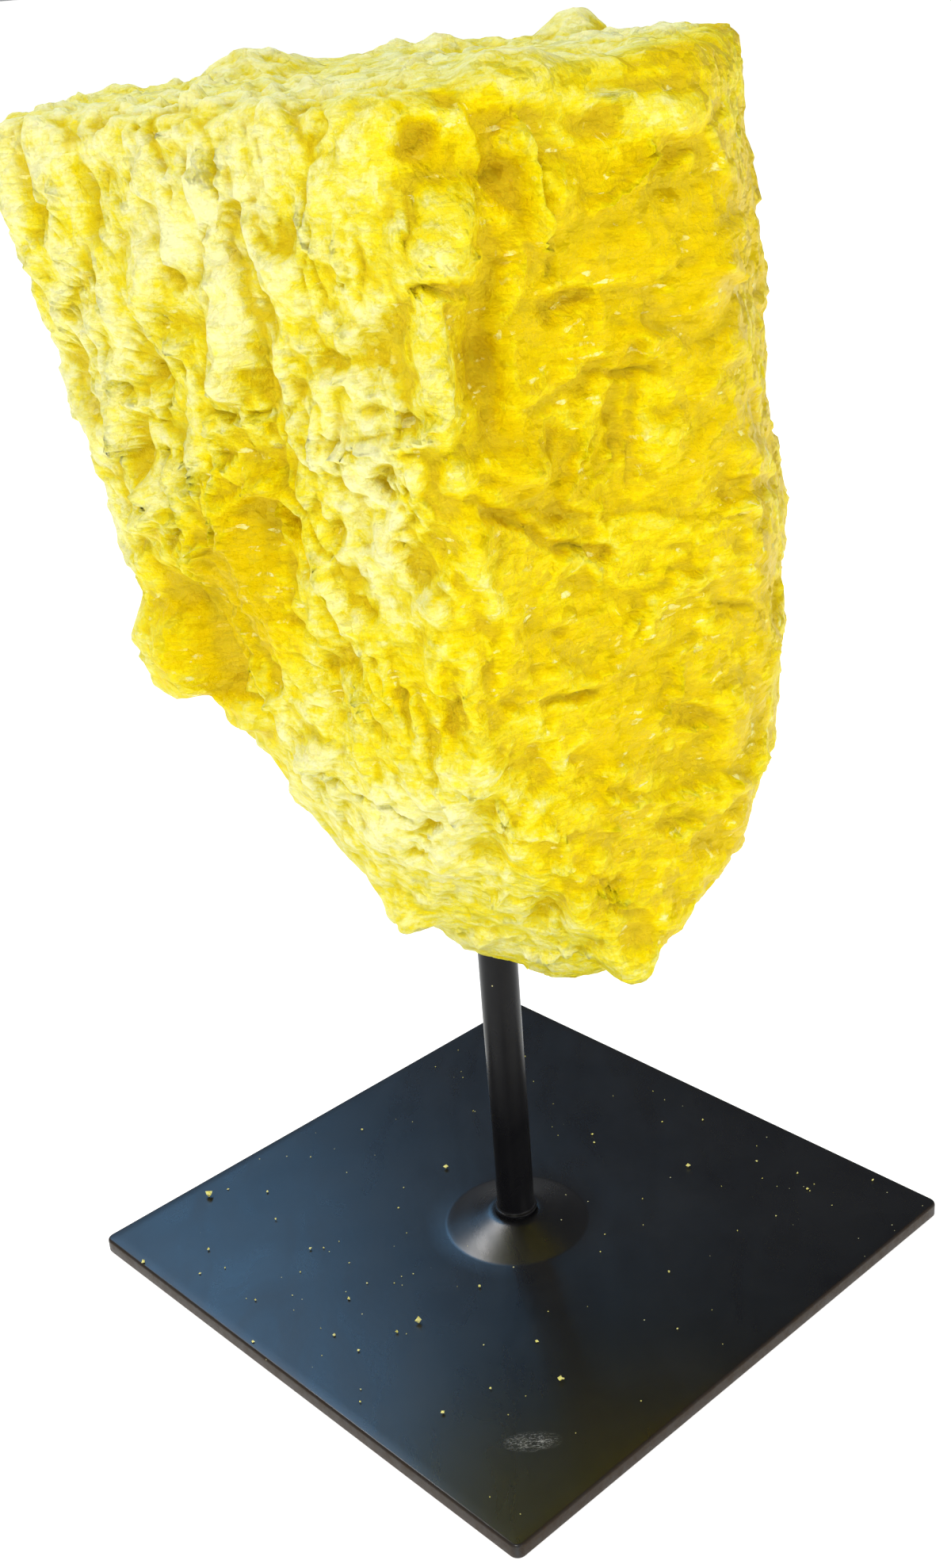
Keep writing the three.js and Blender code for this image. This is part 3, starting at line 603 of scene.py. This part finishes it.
def stone():
    """The stone's skin, closed at the top by a pole and below by its drilled hole. The rows
    that reach the hole's lip are left out, and its wall and roof follow the last one kept."""
    points, hollow, bloom_and_painted_light = stone_points()
    start = points[0].mean(0)
    bearings = stone_grid()[0]
    circle = np.stack([np.sin(bearings), -np.cos(bearings), 0 * bearings], -1)
    mouth_z = points[-1, :, 2].mean()
    spokes = np.linalg.norm(points[..., :2], axis=-1)
    lip = 1.2
    keep = int(np.argmax((spokes < BORE_R + lip).all(1) & (np.arange(ROWS) > ROWS // 2)))
    points, hollow, bloom_and_painted_light = points[:keep], hollow[:keep], bloom_and_painted_light[:keep]
    wall = [circle * (BORE_R + 0.25) + [0, 0, points[-1, :, 2].mean()]]
    levels = (mouth_z + 1, 0.5 * (mouth_z + BORE_TOP_Z), BORE_TOP_Z)
    wall += [circle * BORE_R + [0, 0, z] for z in levels]
    rings = np.concatenate([points, np.array(wall)])
    piece = ring_mesh("sulfur_stone", rings, start, [0, 0, BORE_TOP_Z])
    for name, values in (("hollow", hollow), ("bloom_and_painted_light", bloom_and_painted_light)):
        inside = np.full(len(wall) * COLUMNS, 0.5)
        whole = np.concatenate([values.ravel(), inside, [values[0].mean(), 0.5]])
        layer = piece.data.attributes.new(name, "FLOAT", "POINT")
        layer.data.foreach_set("value", whole.astype(np.float32))
    return piece


# ---- the stand

def circles(profile, directions):
    """Rings about the post's axis from [radius, height] points, one point for each of the
    level directions."""
    profile = np.array(profile)
    flat = profile[:, None, :1] * directions[None]
    height = np.broadcast_to(profile[:, None, 1:], flat.shape[:2] + (1,))
    return np.concatenate([flat, height], -1)


def rounded(centre_r, centre_z, radius, first, last, steps=5):
    """Points of an arc in a profile, from one angle to another: 90 degrees is straight up."""
    turn = np.radians(np.linspace(first, last, steps))
    return [(centre_r + radius * math.cos(t), centre_z + radius * math.sin(t)) for t in turn]


def post():
    """The round bar: a profile turned about its axis, from the top down the side, over the
    ring at its foot and up into its screw hole. The paint makes its side faintly uneven."""
    foot = post_low[2]
    turn = np.arange(96) / 96 * 2 * np.pi
    directions = np.stack([np.sin(turn), -np.cos(turn)], -1)
    profile = [(1.5, post_high[2])]
    profile += rounded(POST_R - 0.5, post_high[2] - 0.5, 0.5, 90, 0)
    profile += [(POST_R, z) for z in np.linspace(post_high[2] - 1, foot + 1.1, 60)]
    profile += rounded(FOOT_RING_R, foot + 1.0, FOOT_RING_R - POST_R, 180, 250, 4)
    profile += rounded(FOOT_RING_R - 0.2, foot + 0.42, 0.2, 70, 0, 4)
    profile += rounded(FOOT_RING_R - 0.2, foot + 0.2, 0.2, 0, -90, 4)
    profile += [(SCREW_HOLE_R + 0.1, foot), (SCREW_HOLE_R, foot + 0.2), (SCREW_HOLE_R, TAPPED_TOP_Z)]
    rings = circles(profile, directions)
    uneven = 1 + 0.002 * grain(rings, 4, 71)
    rings[..., :2] *= uneven[..., None]
    return ring_mesh("stand_post", rings, [0, 0, post_high[2]], [0, 0, TAPPED_TOP_Z + 1.2])


def plate_outline(inset):
    """The plate's outline drawn in by an inset. A quarter of it is a rounded corner and the
    straight side after it; turning that quarter four times gives the whole."""
    half = PLATE_SIDE / 2
    corner = half - PLATE_CORNER_R
    radius = max(PLATE_CORNER_R - inset, 0.2)
    reach = half - inset - radius
    turn = np.linspace(0, np.pi / 2, 9)
    arc = np.stack([reach + radius * np.cos(turn), reach + radius * np.sin(turn)], -1)
    along = np.linspace(1, -1, 58)[1:-1] * min(corner, reach)
    side = np.stack([along, np.full_like(along, half - inset)], -1)
    quarter = np.concatenate([arc, side])
    quarters = []
    for k in range(4):
        c, s = math.cos(PLATE_TURN + k * math.pi / 2), math.sin(PLATE_TURN + k * math.pi / 2)
        quarters.append(quarter @ np.array([[c, s], [-s, c]]))
    return np.concatenate(quarters)


def plate():
    """The square plate with its pressed cone, as rings from the screw hole out over the top,
    round the edge, in along the underside and up the hollow. Rings are circles out to a
    round radius and then go over evenly into the outline. The paint makes the top uneven."""
    outer = plate_outline(PLATE_EDGE_R)
    directions = outer / np.linalg.norm(outer, axis=-1, keepdims=True)
    slope = (CONE_TOP_Z - PLATE_THICK) / (CONE_FOOT_R - CONE_TOP_R)
    down = [(r, PLATE_THICK + slope * (CONE_FOOT_R - r)) for r in np.linspace(5.0, 11.9, 12)]
    middle = [(SCREW_HOLE_R + 0.1, CONE_TOP_Z), (CONE_TOP_R - 0.5, CONE_TOP_Z)]
    middle += [(CONE_TOP_R, CONE_TOP_Z - 0.03)]
    middle += down + [(12.15, PLATE_THICK + 0.035), (12.5, PLATE_THICK), (ROUND_OUT_R, PLATE_THICK)]
    hollow = [(ROUND_OUT_R, 0), (12.3, 0), (11.9, 0.12), (CONE_TOP_R, CONE_TOP_Z - PLATE_THICK)]
    hollow += [(SCREW_HOLE_R, CONE_TOP_Z - PLATE_THICK), (SCREW_HOLE_R, CONE_TOP_Z - 0.1)]
    inner = ROUND_OUT_R * directions
    shares = np.linspace(0, 1, 22)[1:]
    edge = rounded(0, PLATE_THICK - PLATE_EDGE_R, PLATE_EDGE_R, 75, 0, 6)
    edge += rounded(0, PLATE_EDGE_R, PLATE_EDGE_R, 0, -90, 6)
    rings = [inner + share * (outer - inner) for share in shares]
    rings += [plate_outline(PLATE_EDGE_R - out) for out, z in edge]
    rings += [inner + share * (outer - inner) for share in shares[-2::-1]]
    heights = [PLATE_THICK] * len(shares) + [z for out, z in edge] + [0] * (len(shares) - 1)
    level = np.broadcast_to(np.array(heights)[:, None, None], (len(rings), len(outer), 1))
    flat = np.concatenate([np.array(rings), level], -1)
    whole = np.concatenate([circles(middle, directions), flat, circles(hollow, directions)])
    top = smooth_step((whole[..., 2] - 2) / 0.6)
    whole[..., 2] += 0.012 * top * grain(whole, 9, 72) - 0.02 * top
    return ring_mesh("stand_plate", whole)


# Larger crumbs of sulfur on the plate: place to the right and back from the post's axis, and
# size. Tiny ones are strewn at random.
CRUMBS = (
    (-54.5, 13, 1.1), (-17, -24.5, 0.9), (4.5, -40, 1.0), (31, 11, 0.7), (-12, 16, 0.7),
    (-64, -4, 0.5), (-28.5, -17.5, 0.5), (-53, -2, 0.4), (-35.5, -4, 0.45), (-7, -17, 0.5),
    (-30.5, -26, 0.4), (-26.5, -30, 0.45), (-13.5, -45, 0.5), (1.5, -31, 0.45), (-43.5, -26, 0.4),
    (-4, -7.5, 0.4), (62, 3, 0.5), (50.5, 2, 0.4), (-20.5, -26.5, 0.4), (-27.5, 30, 0.4),
    (-44, 13, 0.35), (24, -17, 0.35),
)


STREWN = 90


def crumbs():
    """Small angular crumbs in one mesh: each is an eight-faced double pyramid whose points
    are pulled in and out at random, on the plate, the placed ones first."""
    number = np.arange(STREWN)
    spread_out = [(scatter(number, 0 * number, 5 + 0 * number, seed) - 0.5) for seed in (81, 82)]
    c, s = math.cos(PLATE_TURN), math.sin(PLATE_TURN)
    x, y = (0.93 * PLATE_SIDE * v for v in spread_out)
    size = 0.16 + 0.2 * scatter(number, number, number, 83) ** 3
    strewn = np.stack([x * c - y * s, x * s + y * c, size], -1)
    strewn = strewn[np.hypot(strewn[:, 0], strewn[:, 1]) > 15]
    bits = np.concatenate([np.array(CRUMBS, float), strewn])
    corners = np.array([(1, 0, 0), (0, 1, 0), (-1, 0, 0), (0, -1, 0), (0, 0, 1), (0, 0, -1)])
    which = np.arange(len(bits))[:, None, None]
    kinds = np.arange(6)[None, :, None] + 10 * np.arange(3)[None, None, :]
    jitter = 0.75 + 0.7 * (scatter(which + 0 * kinds, kinds + 0 * which, 3 + 0 * which, 84) - 0.5)
    turn = 6.28 * scatter(which[:, 0], which[:, 0], which[:, 0], 85)
    shape = corners[None] * jitter * 0.85 * bits[:, None, 2:]
    shape = shape + 0.12 * bits[:, None, 2:] * (jitter - 0.75)
    flat_x = shape[..., 0] * np.cos(turn) - shape[..., 1] * np.sin(turn)
    flat_y = shape[..., 0] * np.sin(turn) + shape[..., 1] * np.cos(turn)
    height = shape[..., 2] - shape[..., 2].min(1, keepdims=True) + PLATE_THICK
    vertices = np.stack([flat_x + bits[:, :1], flat_y + bits[:, 1:2], height], -1).reshape(-1, 3)
    above = [(k, (k + 1) % 4, 4) for k in range(4)]
    below = [(after, k, 5) for k, after, top in above]
    sides = np.array(above + below)
    faces = (sides[None] + 6 * which).reshape(-1, 3).tolist()
    piece = object_from("sulfur_crumbs", vertices, faces)
    piece.data.polygons.foreach_set("use_smooth", np.zeros(len(piece.data.polygons), bool))
    return piece


# ---- shader helpers

def new_material(name):
    """A material with its node tree, and its Principled shader."""
    material = bpy.data.materials.new(name)
    material.use_nodes = True
    tree = material.node_tree
    return material, tree, tree.nodes["Principled BSDF"]


def feed(tree, node, values):
    """Fills a node's inputs by name or number: a value is set and an output is linked."""
    for key, value in values.items():
        if isinstance(value, bpy.types.NodeSocket):
            tree.links.new(value, node.inputs[key])
        else:
            node.inputs[key].default_value = value


def add(tree, kind, values=None, **settings):
    """A node with its settings, and its inputs filled by feed."""
    node = tree.nodes.new("ShaderNode" + kind)
    for key, value in settings.items():
        setattr(node, key, value)
    feed(tree, node, values or {})
    return node


def millimetres(tree, scale=(1, 1, 1)):
    """Object coordinates in millimetres, stretched by a scale."""
    place = add(tree, "TexCoord").outputs["Object"]
    size = tuple(1000.0 * k for k in scale)
    return add(tree, "Mapping", {"Vector": place, "Scale": size}).outputs["Vector"]


def noise(tree, place, size, detail=2.0, rough=0.55, warp=0.0):
    """Noise from 0 to 1 whose grains are about the given size in millimetres."""
    values = {"Vector": place, "Scale": 1.0 / size, "Detail": detail}
    values.update({"Roughness": rough, "Distortion": warp})
    return add(tree, "TexNoise", values).outputs["Fac"]


def maths(tree, operation, *values, clamp=False):
    """A calculation with numbers."""
    node = add(tree, "Math", dict(enumerate(values)), operation=operation, use_clamp=clamp)
    return node.outputs[0]


def weighed(tree, start, *terms):
    """A start value plus each term's value times its weight."""
    for value, weight in terms:
        start = maths(tree, "MULTIPLY_ADD", value, weight, start)
    return start


def vectors(tree, operation, *values, scale=None, result="Vector"):
    """A calculation with vectors, and what it gives."""
    values = dict(enumerate(values))
    if scale is not None:
        values["Scale"] = scale
    return add(tree, "VectorMath", values, operation=operation).outputs[result]


def spread(tree, value, low, high, to_low=0.0, to_high=1.0):
    """Takes the range from low to high to another range, held at its ends."""
    values = {0: value, 1: low, 2: high, 3: to_low, 4: to_high}
    return add(tree, "MapRange", values, clamp=True).outputs[0]


def ramp(tree, value, stops):
    """Colours at places along a value."""
    node = add(tree, "ValToRGB", {"Fac": value})
    elements = node.color_ramp.elements
    while len(elements) < len(stops):
        elements.new(0.5)
    for element, (place, colour) in zip(elements, stops):
        element.position = place
        element.color = (*colour, 1)
    return node.outputs["Color"]


def mixed(tree, share, first, second):
    """One colour going over into another."""
    node = add(tree, "Mix", {"Factor": share, "A": first, "B": second}, data_type="RGBA")
    return node.outputs["Result"]


def attribute(tree, name):
    """A number that the mesh carries at each point."""
    return add(tree, "Attribute", attribute_name=name).outputs["Fac"]


def bumped(tree, height, strength, distance):
    """The surface's direction when it is raised by a height, for the shader's normal."""
    values = {"Height": height, "Strength": strength, "Distance": distance}
    return add(tree, "Bump", values).outputs["Normal"]


def new_group(name, given, results):
    """A shader group with named sockets in and out. Gives the tree and its two end nodes."""
    group = bpy.data.node_groups.new(name, "ShaderNodeTree")
    for way, sockets in (("INPUT", given), ("OUTPUT", results)):
        for socket, kind in sockets.items():
            group.interface.new_socket(socket, in_out=way, socket_type="NodeSocket" + kind)
    return group, group.nodes.new("NodeGroupInput").outputs, group.nodes.new("NodeGroupOutput")


GOLDEN = (0.80, 0.58, 0.001)
YELLOW = (0.90, 0.72, 0.002)
LEMON = (0.88, 0.77, 0.05)
PALE = (0.91, 0.85, 0.24)
CREAM = (0.96, 0.93, 0.46)


def broken_faces():
    """Shader group: small flat faces that meet in sharp edges. Each cell of a random mosaic
    leans its own way, and the height is its lean times the way from its middle. Noise bends
    the mosaic a little. Chance is a random number for each face."""
    sockets = {"Place": "Vector", "Size": "Float"}, {"Height": "Float", "Chance": "Float"}
    group, given, result = new_group("broken faces", *sockets)
    size = given["Size"]
    bend = (0.9, 0.9, 0.9)
    warp = add(group, "TexNoise", {"Vector": given["Place"], "Scale": 0.7, "Detail": 2.0})
    place = vectors(group, "MULTIPLY_ADD", warp.outputs["Color"], bend, given["Place"])
    small = vectors(group, "DIVIDE", place, size)
    mosaic = add(group, "TexVoronoi", {"Vector": small, "Scale": 1.0})
    away = vectors(group, "SUBTRACT", small, mosaic.outputs["Position"])
    lean = vectors(group, "SUBTRACT", mosaic.outputs["Color"], (0.5, 0.5, 0.5))
    height = vectors(group, "DOT_PRODUCT", away, lean, result="Value")
    chance = add(group, "SeparateColor", {"Color": mosaic.outputs["Color"]}).outputs["Red"]
    feed(group, result, {"Height": maths(group, "MULTIPLY", height, size), "Chance": chance})
    return group


def faces_of(tree, place, size):
    """The broken faces of a size in millimetres: their height in millimetres and chance."""
    node = add(tree, "Group", node_tree=BROKEN_FACES)
    feed(tree, node, {"Place": place, "Size": size})
    return node.outputs["Height"], node.outputs["Chance"]


def sulfur_material():
    """Native sulfur: golden where it is fresh, lemon where it is worn, with crisp pale bruises on its
    crests. Part of the paleness of the sides facing left and up is painted light; the darker, more golden
    hollows are painted shade and bounce light; and small faces of broken grains painted pale are painted
    glints."""
    material, tree, shader = new_material("native sulfur")
    place = millimetres(tree)
    layered = millimetres(tree, (0.45, 0.45, 1.5))
    bloom_and_painted_light = attribute(tree, "bloom_and_painted_light")
    hollow = attribute(tree, "hollow")
    bruise = noise(tree, place, 3.6, 6, 0.68, 0.9)
    speck = noise(tree, place, 0.8, 3, 0.7, 0.4)
    # Paler along streaks in the layers: partly the grains' own tone, partly painted glints.
    streak = noise(tree, layered, 1.6, 4, 0.65, 0.5)
    large, large_chance = faces_of(tree, place, 2.4)
    small, small_chance = faces_of(tree, layered, 0.9)
    # The hollow term turns the tone golden in hollows: painted shade and bounce light.
    tone = weighed(tree, -1.01, (bruise, 1.2), (speck, 0.5), (streak, 0.6),
                   (large_chance, 0.16), (hollow, -0.5))
    tone = maths(tree, "ADD", tone, bloom_and_painted_light, clamp=True)
    stops = ((0.0, GOLDEN), (0.28, YELLOW), (0.5, LEMON), (0.72, PALE), (1.0, CREAM))
    colour = ramp(tree, tone, stops)
    # Darker in hollows: painted shade.
    shade = spread(tree, hollow, 0.45, 0.8, 1.0, 0.9)
    colour = vectors(tree, "SCALE", colour, scale=shade)
    # Deep hollows go over into a dark gold: painted shade and bounce light.
    deep = spread(tree, hollow, 0.55, 1.0, 0.0, 0.65)
    colour = mixed(tree, deep, colour, (0.76, 0.56, 0.02, 1))
    # Small faces of broken grains are painted pale and made smoother: the pale colour is a painted glint.
    bright = spread(tree, small_chance, 0.86, 0.93)
    glint = maths(tree, "MULTIPLY", bright, spread(tree, bruise, 0.54, 0.62))
    grit = noise(tree, place, 0.6, 3, 0.6, 0.3)
    height = weighed(tree, 0, (large, 0.85), (small, 0.8), (grit, 0.3), (bruise, 0.6))
    feed(tree, shader, {
        "Base Color": mixed(tree, glint, colour, (0.95, 0.88, 0.3, 1)),
        "Roughness": weighed(tree, spread(tree, tone, 0.1, 0.9, 0.45, 0.66), (glint, -0.3)),
        "Normal": bumped(tree, height, 0.9, 0.001),
        "Specular Tint": (1.0, 0.85, 0.02, 1),
        "Specular IOR Level": 0.35,
        "Subsurface Weight": 0.2,
        "Subsurface Radius": (1.0, 0.75, 0.08),
        "Subsurface Scale": 0.002,
    })
    return material


def specks():
    """Shader group: scattered round dots. In each cell of a random mosaic a dot of its own
    size lies round the middle, if the cell's random number is below the share."""
    sockets = {"Place": "Vector", "Share": "Float"}, {"Mask": "Float"}
    group, given, result = new_group("specks", *sockets)
    mosaic = add(group, "TexVoronoi", {"Vector": given["Place"], "Scale": 0.8})
    own = add(group, "SeparateColor", {"Color": mosaic.outputs["Color"]})
    chosen = maths(group, "LESS_THAN", own.outputs["Red"], given["Share"])
    reach = maths(group, "MULTIPLY_ADD", own.outputs["Green"], 0.07, 0.04)
    inside = maths(group, "LESS_THAN", mosaic.outputs["Distance"], reach)
    feed(group, result, {"Mask": maths(group, "MULTIPLY", chosen, inside)})
    return group


def specks_of(tree, place, share):
    """A mask of scattered dots, in a share of cells a little over a millimetre wide."""
    node = add(tree, "Group", node_tree=SPECKS)
    feed(tree, node, {"Place": place, "Share": share})
    return node.outputs["Mask"]


def paint_material(name, gloss):
    """Black paint on steel, of a given gloss: faintly mottled, brown and less glossy along the plate's
    edges, partly as worn paint and partly as a painted reflection, with specks of yellow dust, and a
    whitish scuff near the display corner."""
    material, tree, shader = new_material(name)
    place = millimetres(tree)
    cloud = noise(tree, place, 16, 4, 0.6, 0.6)
    colour = ramp(tree, cloud, ((0.3, (0.004, 0.004, 0.005)), (0.7, (0.009, 0.009, 0.010))))
    turned = add(tree, "Mapping", {"Vector": place, "Rotation": (0, 0, -PLATE_TURN)}).outputs["Vector"]
    side = vectors(tree, "ABSOLUTE", turned)
    parts = add(tree, "SeparateXYZ", {"Vector": side}).outputs
    rim = maths(tree, "MAXIMUM", parts["X"], parts["Y"])
    fray = weighed(tree, rim, (noise(tree, place, 1.5, 5, 0.7), 0.7))
    # Brown along the plate's edges: partly worn paint, partly a painted reflection of the surroundings.
    worn = spread(tree, fray, PLATE_SIDE / 2 - 0.15, PLATE_SIDE / 2 + 0.45)
    colour = mixed(tree, worn, colour, (0.03, 0.018, 0.009, 1))
    away = vectors(tree, "SUBTRACT", place, (-0.5, -52, PLATE_THICK))
    away = vectors(tree, "MULTIPLY", away, (0.28, 0.6, 1))
    near = spread(tree, vectors(tree, "LENGTH", away, result="Value"), 0.3, 1.3, 1, 0)
    scratch = noise(tree, millimetres(tree, (0.7, 2.4, 1)), 0.5, 3, 0.7, 1.2)
    scuff = maths(tree, "MULTIPLY", near, spread(tree, scratch, 0.53, 0.6))
    colour = mixed(tree, scuff, colour, (0.45, 0.45, 0.44, 1))
    dust = specks_of(tree, place, 0.05)
    smear = noise(tree, millimetres(tree, (1, 0.35, 1)), 9, 5, 0.65, 0.8)
    rough = spread(tree, smear, 0.3, 0.7, 0.25, 0.33)
    height = weighed(tree, 0, (noise(tree, place, 0.9, 3), 0.06), (dust, 0.3))
    feed(tree, shader, {
        "Base Color": mixed(tree, dust, colour, (0.62, 0.58, 0.3, 1)),
        "Roughness": maths(tree, "MAXIMUM", rough, maths(tree, "MULTIPLY", dust, 0.8)),
        "Specular IOR Level": spread(tree, worn, 0, 1, gloss, 0.1),
        "Normal": bumped(tree, height, 0.35, 0.0003),
    })
    return material


def steel_material():
    """Zinc-plated steel: dull spangles, rings left by turning, and specks of grime."""
    material, tree, shader = new_material("zinc-plated steel")
    place = millimetres(tree)
    spangle = noise(tree, place, 0.7, 4, 0.7, 0.5)
    stops = ((0.25, (0.36, 0.37, 0.39)), (0.6, (0.56, 0.57, 0.58)), (0.8, (0.63, 0.62, 0.58)))
    colour = ramp(tree, spangle, stops)
    grime = specks_of(tree, place, 0.3)
    level = vectors(tree, "MULTIPLY", place, (1, 1, 0))
    reach = vectors(tree, "LENGTH", level, result="Value")
    rings = maths(tree, "SINE", maths(tree, "MULTIPLY", reach, 24.0))
    feed(tree, shader, {
        "Base Color": mixed(tree, grime, colour, (0.05, 0.045, 0.03, 1)),
        "Metallic": 1.0,
        "Roughness": spread(tree, spangle, 0.2, 0.8, 0.28, 0.5),
        "Normal": bumped(tree, rings, 0.15, 0.0001),
    })
    return material


def crumb_material():
    """Broken sulfur, brighter on some faces than on others."""
    material, tree, shader = new_material("sulfur crumbs")
    place = millimetres(tree)
    height, chance = faces_of(tree, place, 0.35)
    tone = weighed(tree, 0, (chance, 0.4), (noise(tree, place, 0.8, 3), 0.7))
    feed(tree, shader, {
        "Base Color": ramp(tree, tone, ((0.1, LEMON), (0.5, PALE), (0.9, CREAM))),
        "Roughness": spread(tree, chance, 0, 1, 0.35, 0.6),
        "Normal": bumped(tree, height, 0.6, 0.001),
    })
    return material


# ---- pieces on the frame

BROKEN_FACES = broken_faces()
SPECKS = specks()

rock = stone()
rock.data.materials.append(sulfur_material())
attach(rock, "root")
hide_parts("sulfur_specimen")

satin = paint_material("satin black paint", 0.45)
dull = paint_material("dull black paint", 0.16)
for piece, node, paint in ((plate(), "base_plate", satin), (post(), "post", dull)):
    piece.data.materials.append(paint)
    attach(piece, "root")
    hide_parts(node)

bits = crumbs()
bits.data.materials.append(crumb_material())
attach(bits, "root")

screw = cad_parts["post_screw"].data
screw.materials.clear()
screw.materials.append(steel_material())


# ---- stage, light and camera

def floor():
    """A wide pale floor under the stand. It glows, so that it stays white far away."""
    half = 30.0
    mesh = bpy.data.meshes.new("floor")
    corners = [(-half, -half, 0), (half, -half, 0), (half, half, 0), (-half, half, 0)]
    mesh.from_pydata(corners, [], [(0, 1, 2, 3)])
    piece = bpy.data.objects.new("floor", mesh)
    bpy.context.scene.collection.objects.link(piece)
    material, tree, shader = new_material("pale floor")
    feed(tree, shader, {
        "Base Color": (0.9, 0.9, 0.9, 1),
        "Roughness": 0.9,
        "Emission Color": (1, 0.99, 0.97, 1),
        "Emission Strength": 0.68,
    })
    mesh.materials.append(material)


def softbox(name, place, target, size, power, colour):
    """A flat light of a width and a height that faces a target. Places are in metres."""
    light = bpy.data.lights.new(name, "AREA")
    light.shape = "RECTANGLE"
    light.size, light.size_y = size
    light.energy = power
    light.color = colour
    lamp = bpy.data.objects.new(name, light)
    place, target = np.array(place), np.array(target)
    back = (place - target) / np.linalg.norm(place - target)
    right = np.cross([0, 0, 1], back)
    right = right / np.linalg.norm(right)
    up = np.cross(back, right)
    rows = np.column_stack([right, up, back, place]).tolist()
    lamp.matrix_world = Matrix(rows + [[0, 0, 0, 1]])
    bpy.context.scene.collection.objects.link(lamp)


def camera():
    """A camera a little above the stone's top, looking down at the display side."""
    data = bpy.data.cameras.new("camera")
    data.lens = 42.37
    data.sensor_width = 36
    data.clip_start = 0.01
    lens = bpy.data.objects.new("camera", data)
    place = Matrix.Translation(EYE * MM)
    tilt = Matrix.Rotation(math.pi / 2 - TILT, 4, "X")
    roll = Matrix.Rotation(ROLL, 4, "Z")
    lens.matrix_world = place @ tilt @ roll
    bpy.context.scene.collection.objects.link(lens)
    bpy.context.scene.camera = lens


def studio():
    """A pale studio all round, dim behind and above, where the plate mirrors it."""
    world = bpy.data.worlds.new("studio")
    bpy.context.scene.world = world
    world.use_nodes = True
    tree = world.node_tree
    way = add(tree, "TexCoord").outputs["Generated"]
    behind = vectors(tree, "DOT_PRODUCT", way, (0.12, 0.74, 0.66), result="Value")
    sheet = tree.nodes["Background"]
    strength = spread(tree, behind, 0.5, 0.85, 0.62, 0.12)
    feed(tree, sheet, {"Color": (0.96, 0.97, 1, 1), "Strength": strength})


floor()
stone_middle = (0, 0, 0.12)
softbox("key", (-0.25, -0.75, 0.9), stone_middle, (0.25, 0.25), 4.2, (1.0, 0.97, 0.92))
softbox("fill", (0.8, -0.8, 0.1), stone_middle, (0.7, 0.7), 3.2, (1.0, 0.98, 0.95))
softbox("overhead", (-0.36, 0.52, 0.98), stone_middle, (0.26, 0.26), 3.4, (1.0, 0.98, 0.96))
softbox("sky window", (-0.33, 1.0, 1.04), (0, -0.02, 0), (0.42, 0.55), 3.6, (0.22, 0.56, 1.0))
camera()
studio()
bpy.context.scene.view_settings.view_transform = "Standard"
